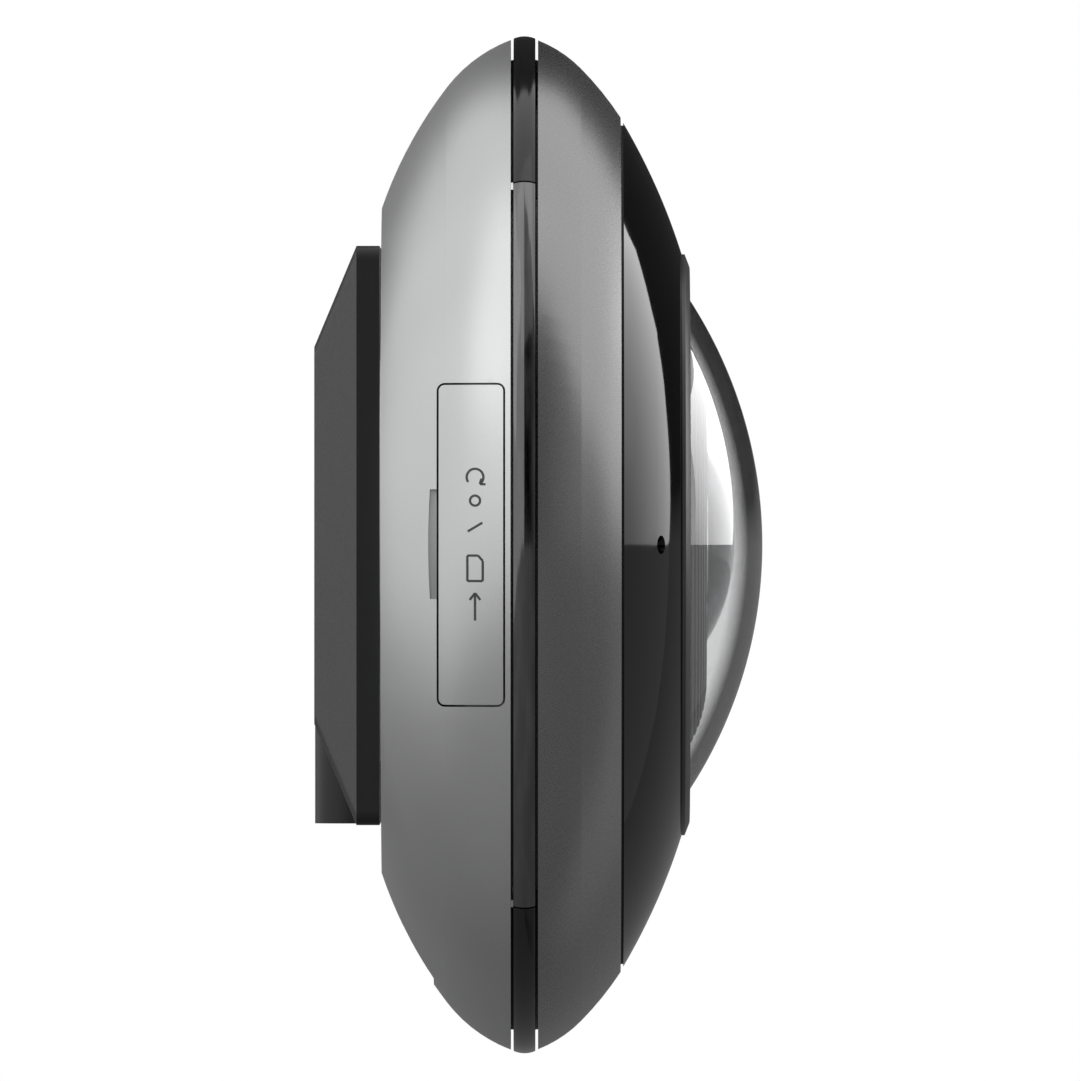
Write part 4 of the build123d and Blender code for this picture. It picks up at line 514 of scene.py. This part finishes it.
dark_silver_paint = metallic_paint(
    "dark_silver_metallic_paint", dark_silver, dark_silver_polish, metallic=0.95
)
dress(dark_silver_paint, "front_bezel")
screws("front_bezel_screws", "bezel_screws", bezel_screw_circle, bezel_angles, bezel_screw_size)


# Front frame and light board: a matt black moulding whose collar carries the dome. The ring of
# infrared lamps, the light sensor and the microphone stand on a board against its plate.
frame_screw_circle = 47.0
frame_screw_size = (1.25, 2.5, 1.8)
frame_angles = 90.0 * np.arange(4)

matt_black = skin(
    "matt_black_moulding", (0.016, 0.016, 0.017), 0.6, grain=0.3, depth=0.006, patch=10.0, spread=0.15
)
dress(matt_black, "front_frame", "filter_frame")
screws("front_frame_screws", "frame_screws", frame_screw_circle, frame_angles, frame_screw_size)
lamp_resin = skin(
    "lamp_resin", (0.3, 0.28, 0.34), 0.12, grain=1.0, depth=0.004, patch=2.0, spread=0.15, coat=1.0
)
dress(lamp_resin, "infrared_leds", "light_sensor")


# Infrared window: a ring of piano black acrylic that lets only infrared through. It is bonded on a
# black seal to the bezel and has one small hole for the microphone on the left side.
piano_black = skin(
    "piano_black_acrylic", (0.006, 0.006, 0.007), 0.035,
    grain=20.0, depth=0.002, patch=30.0, spread=0.2, specular=0.21,
)
dress(piano_black, "infrared_window")


# Sensor board, lens mount and filter changer: a black mount stands on the board over the sensor. A
# small motor's steel arm slides a frame with a cyan cut filter and a clear glass behind the lens.
sensor_screw_circle = 15.0 * math.sqrt(2.0)
sensor_screw_size = (1.0, 2.2, 1.6)
glass_polish, glass_patch = 0.01, 4.0
slant_start, slant_end = 0.15, 0.4

cover_glass = skin(
    "sensor_cover_glass", (0.09, 0.1, 0.14), 0.08, grain=3.0, depth=0.001, patch=3.0, spread=0.3
)
dress(cover_glass, "image_sensor")
mount_black = skin(
    "mount_moulding", (0.024, 0.024, 0.025), 0.5, grain=0.3, depth=0.006, patch=8.0, spread=0.15
)
dress(mount_black, "lens_mount")
dress(plated_steel, "filter_arm")
screws(
    "sensor_board_screws", "sensor_screws", sensor_screw_circle, corner_angles, sensor_screw_size, way=-1
)
ribbon_brown = skin(
    "polyimide_ribbon", (0.4, 0.17, 0.03), 0.35,
    grain=0.8, depth=0.02, patch=2.0, spread=0.3, stretch=(1, 1, 20),
)
dress(ribbon_brown, "ribbon_cable")
nylon_white = skin(
    "nylon_connector", (0.72, 0.7, 0.63), 0.5, grain=0.4, depth=0.005, patch=4.0, spread=0.06
)
dress(nylon_white, "ribbon_connectors")


def slant_of(tree):
    """How far the surface turns from the eye: 0 where it faces it, 1 at its edge."""
    slant = tree.nodes.new("ShaderNodeLayerWeight")
    slant.inputs["Blend"].default_value = 0.5
    return slant.outputs["Facing"]


def glass(name, colour, ior, coat_ior, painted_slant_shade=None):
    """Optical glass: fully clear, with a coating of its own index and a faint wander of the polish.
    With a painted slant shade, its tint goes to that as it turns from the eye, between the slant's two
    ends: painted shade in place of the dark that the glass would show at a slant."""
    finish, tree, shader = new_finish(name, colour, glass_polish)
    shader.inputs["Transmission Weight"].default_value = 1.0
    shader.inputs["IOR"].default_value = ior
    shader.inputs["Coat Weight"].default_value = 1.0
    shader.inputs["Coat IOR"].default_value = coat_ior
    shader.inputs["Coat Roughness"].default_value = glass_polish
    polish(tree, shader, wander(tree, glass_patch), 0.0, glass_polish * 2)
    if painted_slant_shade:
        tint = shader.inputs["Base Color"]
        tone(tree, tint, slant_of(tree), colour, painted_slant_shade, slant_start, slant_end)
    return finish


dress(glass("cyan_filter_glass", (0.5, 0.8, 0.86), ior=1.52, coat_ior=1.6), "cut_filter_glass")
coated_glass = glass("coated_lens_glass", (0.86, 0.88, 0.9), ior=1.6, coat_ior=1.7)
dress(coated_glass, "clear_filter_glass", "rear_lenses", "middle_lens")


# Lens barrel and front lens: an aluminium barrel, anodised black, screwed into the mount. Its wide
# head holds the bulging front lens under a retaining ring with two slots for a pin spanner.
retainer_low, retainer_high = box_mm("lens_retainer")
front_lens_low, front_lens_high = box_mm("front_lens")
retainer_gap = 0.1
retainer_chamfer = (0.6, 0.5)
spanner_slot_angle = 12.0
spanner_slot_depth = 0.8
spanner_face = 0.5
lens_edge_rise = 2.0
lens_hollow = 9.5
lens_thickness = 2.0
lens_chamfer = 0.15
lens_ior, lens_coat_ior = 1.2, 1.15
lens_tint = (0.6, 0.66, 0.72)
lens_painted_slant_shade = (0.04, 0.045, 0.06)

anodised_black = skin(
    "black_anodised_aluminium", (0.02, 0.02, 0.022), 0.32,
    grain=0.2, depth=0.004, patch=6.0, spread=0.15, metallic=0.4,
)
dress(anodised_black, "lens_barrel")


def turned(name, outline, finish, steps=256, shape=None):
    """A turned piece: an outline of (x, r) carried round the optical axis. An outline that starts and
    ends on the axis closes on a pole at each end, and any other is a loop. Shape moves its points."""
    outline = np.asarray(outline, float)
    on_axis = outline[0, 1] < 1e-6
    band = outline[1:-1] if on_axis else np.vstack((outline, outline[:1]))
    angle = np.linspace(0.0, 2 * np.pi, steps, endpoint=False)[None, :]
    x = band[:, :1] + 0 * angle
    r = band[:, 1:] + 0 * angle
    if shape:
        x, r = shape(x, r, np.degrees(angle) + 0 * x)
    points = np.stack((x, -r * np.cos(angle), r * np.sin(angle)), -1).reshape(-1, 3)
    if on_axis:
        poles = (len(points), len(points) + 1)
        faces = woven_faces(len(band), steps, 0, poles)
        points = np.vstack((points, [[outline[0, 0], 0, 0], [outline[-1, 0], 0, 0]]))
    else:
        points = points[: (len(band) - 1) * steps]
        index = np.array(woven_faces(len(band), steps)) % len(points)
        faces = index.tolist()
    piece = piece_of(name, points, faces, finish)
    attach(piece, "camera")
    return piece


def spanner_slots(x, r, angle):
    """Sinks the ring's front face by the slot's depth within half its angle either side of 0 and 180."""
    near = np.abs((angle + 90.0) % 180.0 - 90.0) < spanner_slot_angle / 2
    front = x > retainer_high[0] - spanner_face
    return np.where(near & front, x - spanner_slot_depth, x), r


retainer_bore = front_lens_high[1] + retainer_gap
retainer = turned(
    "lens_retaining_ring",
    eased(
        [
            [retainer_low[0], retainer_bore],
            [retainer_high[0] - retainer_chamfer[0], retainer_bore],
            [retainer_high[0], retainer_bore + retainer_chamfer[1]],
            [retainer_high[0], retainer_high[1]],
            [retainer_low[0], retainer_high[1]],
        ],
        edge_easing,
    ),
    anodised_black,
    steps=360,
    shape=spanner_slots,
)
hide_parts("lens_retainer")

lens_apex, lens_edge = front_lens_high[0], front_lens_high[1]
lens_back = front_lens_low[0]


def cap_middle(apex, edge_x, edge_r):
    """Where the middle of a sphere lies on the axis that passes the apex and the edge:
    its radius is (h^2 + r^2) / 2h for a cap h high."""
    height = apex - edge_x
    return (apex - (height**2 + edge_r**2) / (2 * height), 0.0)


outer_cap = arc_outline(
    cap_middle(lens_apex, lens_back + lens_edge_rise, lens_edge),
    (lens_apex, 0.0),
    (lens_back + lens_edge_rise, lens_edge),
    40,
)
inner_cap = arc_outline(
    cap_middle(lens_apex - lens_thickness, lens_back, lens_hollow),
    (lens_back, lens_hollow),
    (lens_apex - lens_thickness, 0.0),
    30,
)
lens_side = np.array([[lens_back + lens_chamfer, lens_edge], [lens_back, lens_edge - lens_chamfer]])
lens_outline = np.vstack((outer_cap, lens_side, inner_cap))
# Painted shade: the front lens darkens to its slant tint where it is seen at a slant.
front_coated = glass("coated_front_glass", lens_tint, lens_ior, lens_coat_ior, lens_painted_slant_shade)
front_glass = turned("bulging_front_lens", lens_outline, front_coated, steps=192)
front_glass.visible_shadow = False
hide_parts("front_lens")


# Lens surround: a satin black moulding that fills the dome round the lens, so that nothing behind it
# shows. Fine steps turned into its slope keep stray light out of the lens.
surround_low, surround_high = box_mm("lens_surround")
surround_front, surround_skirt = surround_high[0], surround_high[1]
surround_gap = 0.2
surround_bore = retainer_high[1] + surround_gap
surround_wall = 1.2
surround_flat = 22.0
surround_middle = (56.7, 30.3)
surround_foot = (50.5, 37.0)
surround_chamfer = 0.15
step_count, step_points = 14, 4
step_depth = 0.16


def arc_through(start, middle, end, steps):
    """The arc through three points: its centre is where the two chords' bisectors meet."""
    start, middle, end = (np.asarray(point, float) for point in (start, middle, end))
    sides = np.array([middle - start, end - middle])
    sums = np.array([middle @ middle - start @ start, end @ end - middle @ middle]) / 2
    return arc_outline(np.linalg.solve(sides, sums), start, end, steps)


satin_black = skin(
    "satin_black_moulding", (0.008, 0.008, 0.0085), 0.42,
    grain=0.4, depth=0.004, patch=10.0, spread=0.15, specular=0.12,
)
smooth_slope = arc_through(
    (surround_front, surround_flat), surround_middle, surround_foot, step_count * step_points + 1
)
in_notch = np.arange(len(smooth_slope)) % step_points == step_points - 1
stepped_slope = smooth_slope - step_depth * in_notch[:, None]
inner_slope = arc_through(
    (surround_foot[0] - 2 * surround_wall, surround_foot[1]),
    (surround_middle[0] - 1.5 * surround_wall, surround_middle[1]),
    (surround_front - surround_wall, surround_flat),
    16,
)
shoulder = surround_foot[0] - surround_wall
skirt_inner = surround_skirt - surround_wall
surround_outline = np.vstack(
    (
        stepped_slope,
        [
            [shoulder, surround_skirt],
            [surround_low[0], surround_skirt],
            [surround_low[0], skirt_inner],
            [shoulder - surround_wall, skirt_inner],
        ],
        inner_slope,
        [
            [surround_front - surround_wall, surround_bore],
            [surround_front - surround_chamfer, surround_bore],
            [surround_front, surround_bore + surround_chamfer],
        ],
    )
)
surround = turned("stepped_lens_surround", surround_outline, satin_black, steps=224)
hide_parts("lens_surround")


# Dome: clear polycarbonate, moulded with a flange that the clamp ring presses on its seal. The hard
# coat on its outside mirrors strongly at a slant. Its edge is darkened by painted shade where the wall
# turns from the eye, in place of the dark that light bent through the wall would show.
dome_low, dome_high = box_mm("dome_cover")
dome_radius = 68.0
dome_wall = 2.5
dome_middle = (dome_high[0] - dome_radius, 0.0)
flange_back, flange_radius = dome_low[0], dome_high[1]
flange_thickness, flange_chamfer = 2.3, 0.2
flange_front = flange_back + flange_thickness
clear_dim, clear_tint, clear_patch = (0.985, 0.99, 0.995), (0.99, 0.995, 1.0), 30.0
rim_painted_shade, rim_start, rim_end = (0.07, 0.07, 0.071), 0.64, 0.75
coat_ior, coat_ahead, coat_start, coat_end = 2.8, 0.3, 0.1, 0.45


def sphere_at(x, radius):
    """The distance from the optical axis at which a sphere about the dome's middle has that x."""
    return math.sqrt(radius**2 - (x - dome_middle[0]) ** 2)


outer_foot = (flange_front, sphere_at(flange_front, dome_radius))
inner_foot = (flange_back, sphere_at(flange_back, dome_radius - dome_wall))
dome_outline = np.vstack(
    (
        arc_outline(dome_middle, (dome_high[0], 0.0), outer_foot, 72),
        [[flange_front, flange_radius - flange_chamfer], [flange_front - flange_chamfer, flange_radius]],
        [[flange_back + flange_chamfer, flange_radius], [flange_back, flange_radius - flange_chamfer]],
        arc_outline(dome_middle, inner_foot, (dome_high[0] - dome_wall, 0.0), 64),
    )
)


def clear_shell(name, colour):
    """Clear plastic drawn without refraction, as an even wall bends light in and back again."""
    finish, tree, shader = new_finish(name, colour, 0.0)
    shader.inputs["Transmission Weight"].default_value = 1.0
    shader.inputs["IOR"].default_value = 1.0
    return finish, tree, shader


dome_inside, tree, shader = clear_shell("clear_polycarbonate", clear_tint)
tone(tree, shader.inputs["Base Color"], wander(tree, clear_patch), clear_dim, (1.0, 1.0, 1.0))
dome_outside, tree, shader = clear_shell("hard_coated_polycarbonate", (1.0, 1.0, 1.0))
shader.inputs["Coat Weight"].default_value = 1.0
shader.inputs["Coat IOR"].default_value = coat_ior
shader.inputs["Coat Roughness"].default_value = 0.0
slant = slant_of(tree)
# Painted shade: the outside's colour goes dark towards the rim as the wall turns from the eye.
tone(tree, shader.inputs["Base Color"], slant, clear_tint, rim_painted_shade, rim_start, rim_end)
mirror = tree.nodes.new("ShaderNodeMapRange")
mirror.inputs["From Min"].default_value = coat_start
mirror.inputs["From Max"].default_value = coat_end
mirror.inputs["To Min"].default_value = coat_ahead
mirror.inputs["To Max"].default_value = 1.0
tree.links.new(slant, mirror.inputs["Value"])
tree.links.new(mirror.outputs["Result"], shader.inputs["Coat Weight"])
dome = turned("clear_dome", dome_outline, dome_outside, steps=288)
dome.data.materials.append(dome_inside)
centres = np.zeros(len(dome.data.polygons) * 3)
dome.data.polygons.foreach_get("center", centres)
distance = np.linalg.norm(centres.reshape(-1, 3) * 1000 - [dome_middle[0], 0.0, 0.0], axis=1)
is_inside = distance < dome_radius - dome_wall / 2
dome.data.polygons.foreach_set("material_index", is_inside.astype(np.int32))
dome.visible_shadow = False
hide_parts("dome_cover")


# Clamp ring: a satin dark grey moulding, glued over the collar, whose chamfered nose holds the dome's
# flange down.
clamp_low, clamp_high = box_mm("dome_clamp_ring")
clamp_radius = clamp_high[1]
clamp_gap = 0.1
clamp_nose = clamp_radius - 2.0
chamfer_start = flange_front + 0.7
collar_radius = clamp_radius - 1.5

clamp_grey = skin(
    "satin_dark_grey_moulding", (0.072, 0.072, 0.074), 0.33, grain=0.3, depth=0.004, patch=10.0, spread=0.1
)
clamp_outline = eased(
    [
        [clamp_high[0], sphere_at(clamp_high[0], dome_radius + clamp_gap)],
        [clamp_high[0], clamp_nose],
        [chamfer_start, clamp_radius],
        [clamp_low[0], clamp_radius],
        [clamp_low[0], collar_radius],
        [flange_front, collar_radius],
        [flange_front, sphere_at(flange_front, dome_radius + clamp_gap)],
    ],
    edge_easing,
)
clamp_ring = turned("dome_clamping_ring", clamp_outline, clamp_grey)
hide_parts("dome_clamp_ring")


# Card door: a slab of the casing's own surface in the same silver paint, with a seal behind it. Five
# plain marks are engraved in it: a round arrow and a pin hole for the reset button, a stroke, and a
# card with an arrow for the way it goes in.
rim_arc_middle = (37.28, 55.94)
rim_arc_radius = 21.9
mark_depth, mark_rise = 0.12, 0.012
mark_width = 0.36
mark_x = 24.3
ring_z, ring_radius, ring_start, ring_end = 10.1, 1.25, -55.0, 215.0
pin_z, pin_radius = 6.6, 0.75
slash_half_width, slash_foot, slash_top = 1.1, 2.0, 3.3
card_half_width, card_top, card_bottom = 1.15, -1.6, -5.4
card_cut_x, card_cut_z = 0.7, 0.8
way_in_tip, way_in_start, way_in_head = -7.2, -11.3, 1.3

dress(silver_paint, "card_door")
# Painted shade: the marks' dark grey stands for the shade in engraved grooves, on strips whose top lies a
# hair above the door.
engraving_painted_shade = skin(
    "engraving_painted_shade", (0.07, 0.07, 0.071), 0.5, grain=0.3, depth=0.004, patch=3.0, spread=0.15
)


def engraved(strokes, name):
    """Marks sunk in the door: each stroke's line of (x, z) is widened either way along its normal, and
    every point drops on to the casing, y = -sqrt(r(x)^2 - z^2), r(x) being the rim's arc. Their dark
    grey is painted shade of the grooves, and their top stands a hair above the casing."""
    points, faces = [], []
    for line in strokes:
        line = np.asarray(line, float)
        run = np.gradient(line, axis=0)
        side = np.stack((-run[:, 1], run[:, 0]), -1)
        side *= mark_width / 2 / np.linalg.norm(side, axis=1, keepdims=True)
        plan = np.stack((line + side, line - side, line - side, line + side), 1)
        lift = np.array([mark_rise, mark_rise, -mark_depth, -mark_depth])[None, :]
        x, z = plan[..., 0], plan[..., 1]
        casing = rim_arc_middle[1] + np.sqrt(rim_arc_radius**2 - (x - rim_arc_middle[0]) ** 2)
        y = -np.sqrt((casing + lift) ** 2 - z**2)
        first = sum(len(part) for part in points)
        points.append(np.stack((x, y, z), -1).reshape(-1, 3))
        faces += woven_faces(len(line), 4, first)
        faces.append([first + 3, first + 2, first + 1, first])
        last = first + 4 * (len(line) - 1)
        faces.append([last, last + 1, last + 2, last + 3])
    piece = piece_of(name, np.vstack(points), faces, engraving_painted_shade)
    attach(piece, "door")
    return piece


def straight(start, end, steps=9):
    """A straight stroke with points enough to follow the curved casing."""
    share = np.linspace(0.0, 1.0, steps)[:, None]
    return np.asarray(start) * (1 - share) + np.asarray(end) * share


def arrow_head(tip, heading, length=0.85, spread=38.0):
    """Two strokes that run back from the tip, either side of its heading in degrees."""
    away = np.radians(heading + 180.0 + np.array([-spread, spread]))
    ends = np.asarray(tip) + length * np.stack((np.cos(away), np.sin(away)), -1)
    return [straight(tip, end) for end in ends]


def open_ring(middle, radius, first, last):
    """Part of a circle from one angle to the other."""
    turn = np.radians(np.linspace(first, last, 41))
    return np.asarray(middle) + radius * np.stack((np.cos(turn), np.sin(turn)), -1)


ring_line = open_ring((mark_x, ring_z), ring_radius, ring_start, ring_end)
engraved([ring_line, *arrow_head(ring_line[0], ring_start - 90.0)], "reset_arrow_mark")

engraved([open_ring((mark_x, pin_z), pin_radius, 0.0, 360.0)], "pin_hole_mark")

slash_line = straight((mark_x - slash_half_width, slash_foot), (mark_x + slash_half_width, slash_top))
engraved([slash_line], "slash_mark")

card_left, card_right = mark_x - card_half_width, mark_x + card_half_width
card_corners = [
    (card_left, card_bottom),
    (card_left, card_top),
    (card_right - card_cut_x, card_top),
    (card_right, card_top - card_cut_z),
    (card_right, card_bottom),
    (card_left, card_bottom),
]
card_sides = [straight(start, end) for start, end in zip(card_corners, card_corners[1:])]
engraved(card_sides, "card_outline_mark")

way_in_line = straight((mark_x, way_in_start), (mark_x, way_in_tip), steps=17)
engraved([way_in_line, *arrow_head(way_in_line[-1], 90.0, way_in_head)], "way_in_mark")


# Studio: a pale floor under the object, a white surround for the eye, two soft boxes, and cards that
# the camera never sees. They give the glossy parts their edge at the horizon and behind, and the two
# below the horizon shade the underside too.
floor_level = -120.0
floor_reach = 2250.0
floor_rings, floor_sides = 24, 96
studio_reach = 3.0
room_light, white_seen = 0.55, 1.0


def floor_disc():
    """A disc of rings about the object: each ring's radius is the reach times its share squared."""
    radius = np.linspace(0.03, 1.0, floor_rings)[:, None] ** 2 * floor_reach
    turn = np.linspace(0.0, 2 * np.pi, floor_sides, endpoint=False)[None, :]
    level = np.full((floor_rings, floor_sides), floor_level)
    points = np.stack((radius * np.cos(turn), radius * np.sin(turn), level), -1).reshape(-1, 3)
    return points, [*woven_faces(floor_rings, floor_sides), list(range(floor_sides))]


pale_floor = skin("pale_floor", (0.9, 0.9, 0.9), 0.8, grain=4.0, depth=0.02, patch=400.0, spread=0.02)
floor = piece_of("floor", *floor_disc(), pale_floor)
if floor.data.polygons[0].normal.z < 0:
    floor.data.flip_normals()
floor.visible_diffuse = False
floor.visible_glossy = False


def studio_card(name, azimuth, low, high, dim, bright, turned_to, lean=0.0, seen_by_diffuse=False):
    """Part of a sphere about the object between two edges: at azimuth a and elevation e it lies at
    R (sin a cos e, -cos a cos e, sin e), a growing by lean times e. Its glow rises from dim to bright
    while its place's dot product with turned_to goes from 0 to R, so a longer vector rises sooner."""
    share = np.linspace(0.0, 1.0, 24)[:, None]
    elevation = np.radians(low * (1 - share) + high * share)
    azimuth = np.radians(azimuth)[None, :] + lean * elevation
    across = np.cos(elevation)
    points = np.stack(
        (np.sin(azimuth) * across, -np.cos(azimuth) * across, np.sin(elevation) + 0 * azimuth), -1
    )
    rows, columns = points.shape[:2]
    index = np.arange(rows * columns).reshape(rows, columns)
    faces = np.stack((index[:-1, :-1], index[:-1, 1:], index[1:, 1:], index[1:, :-1]), -1)
    finish = bpy.data.materials.new(name)
    finish.use_nodes = True
    tree = finish.node_tree
    tree.nodes.remove(tree.nodes["Principled BSDF"])
    glow = tree.nodes.new("ShaderNodeEmission")
    place = tree.nodes.new("ShaderNodeTexCoord")
    along = tree.nodes.new("ShaderNodeVectorMath")
    along.operation = "DOT_PRODUCT"
    along.inputs[1].default_value = turned_to
    rise = tree.nodes.new("ShaderNodeMapRange")
    rise.inputs["From Max"].default_value = studio_reach
    rise.inputs["To Min"].default_value = dim
    rise.inputs["To Max"].default_value = bright
    tree.links.new(place.outputs["Object"], along.inputs[0])
    tree.links.new(along.outputs["Value"], rise.inputs["Value"])
    tree.links.new(rise.outputs["Result"], glow.inputs["Strength"])
    tree.links.new(glow.outputs[0], tree.nodes["Material Output"].inputs["Surface"])
    points = points.reshape(-1, 3) * studio_reach * 1000
    card = piece_of(name, points, faces.reshape(-1, 4).tolist(), finish)
    card.visible_camera = False
    card.visible_transmission = False
    card.visible_shadow = False
    card.visible_diffuse = seen_by_diffuse
    return card


nadir, horizon = -90.0, 0.0
right_edge, behind_edge, edge_lean = 112.0, 136.5, 0.46
to_right, quickly_up = (1.0, 0.0, 0.0), (0.0, 0.0, 23.0)
front_left, front_right = (-0.6, -0.8, 0.0), (0.94, 0.342, 0.0)
behind_up = (-0.29, 0.645, 0.707)

azimuth = np.linspace(behind_edge - 360.0, right_edge, 133)
lowered = np.interp(azimuth, (-152.0, -135.0, -101.0, -46.0, -8.0), (horizon, -4.0, -14.0, -12.0, horizon))
studio_card(
    "dark_card_below", azimuth, nadir, lowered,
    dim=0.19, bright=0.34, turned_to=front_left, seen_by_diffuse=True,
)

azimuth = np.linspace(right_edge, behind_edge, 17)
studio_card(
    "grey_card_right", azimuth, nadir, horizon,
    dim=0.02, bright=0.39, turned_to=to_right, seen_by_diffuse=True,
)

azimuth = np.linspace(behind_edge, 215.0, 33)
leans = np.linspace(edge_lean, -0.2, 33)
studio_card(
    "dark_card_behind", azimuth, horizon, 55.0, dim=0.19, bright=0.03, turned_to=quickly_up, lean=leans
)

azimuth = np.linspace(0.0, 110.0, 65)
brow = np.interp(azimuth, (0.0, 22.0, 50.0, 62.0, 110.0), (89.0, 88.0, 72.0, 46.0, horizon))
studio_card("dark_card_front", azimuth, horizon, brow, dim=0.0, bright=0.34, turned_to=front_right)

azimuth = np.linspace(114.0, behind_edge, 17)
studio_card(
    "bright_card_right", azimuth, horizon, 17.0, dim=0.95, bright=6.3, turned_to=behind_up, lean=edge_lean
)

world = bpy.data.worlds.new("studio")
bpy.context.scene.world = world
world.use_nodes = True
tree = world.node_tree
path = tree.nodes.new("ShaderNodeLightPath")
seen = tree.nodes.new("ShaderNodeMath")
seen.operation = "MAXIMUM"
seen_through = tree.nodes.new("ShaderNodeMath")
seen_through.operation = "MAXIMUM"
level = tree.nodes.new("ShaderNodeMapRange")
level.inputs["To Min"].default_value = room_light
level.inputs["To Max"].default_value = white_seen
tree.links.new(path.outputs["Is Camera Ray"], seen.inputs[0])
tree.links.new(path.outputs["Is Glossy Ray"], seen.inputs[1])
tree.links.new(seen.outputs[0], seen_through.inputs[0])
tree.links.new(path.outputs["Is Transmission Ray"], seen_through.inputs[1])
tree.links.new(seen_through.outputs[0], level.inputs["Value"])
background = tree.nodes["Background"]
background.inputs["Color"].default_value = (1.0, 1.0, 1.0, 1.0)
tree.links.new(level.outputs["Result"], background.inputs["Strength"])


def soft_lamp(name, azimuth, elevation, distance, width, power):
    """A square soft box at that azimuth and elevation, turned to face the object."""
    a, e = math.radians(azimuth), math.radians(elevation)
    lamp = bpy.data.lights.new(name, "AREA")
    lamp.shape = "SQUARE"
    lamp.size = width
    lamp.energy = power
    holder = bpy.data.objects.new(name, lamp)
    holder.location = (
        distance * math.sin(a) * math.cos(e),
        -distance * math.cos(a) * math.cos(e),
        distance * math.sin(e),
    )
    holder.rotation_euler = (math.radians(90.0) - e, 0.0, a)
    bpy.context.scene.collection.objects.link(holder)
    return holder


soft_lamp("soft_box_left", azimuth=-60.0, elevation=43.0, distance=1.5, width=1.2, power=3.0)
soft_lamp("soft_box_front", azimuth=20.0, elevation=70.0, distance=1.8, width=1.6, power=3.0)


# Camera: level, square on to the left side, from far enough away that the sides look parallel, as
# they do in the photograph.
view_width = 0.16354
view_lens = 1100.0
view_sensor = 36.0
view_middle = (0.034, 0.00065)

camera_data = bpy.data.cameras.new("camera_view")
camera_data.lens = view_lens
camera_data.sensor_width = view_sensor
camera_data.sensor_fit = "HORIZONTAL"
camera_data.clip_end = 100.0
camera = bpy.data.objects.new("camera_view", camera_data)
camera.location = (view_middle[0], -view_width * view_lens / view_sensor, view_middle[1])
camera.rotation_euler = (math.radians(90.0), 0.0, 0.0)
bpy.context.scene.collection.objects.link(camera)
bpy.context.scene.camera = camera

view_settings = bpy.context.scene.view_settings
view_settings.view_transform = "Standard"
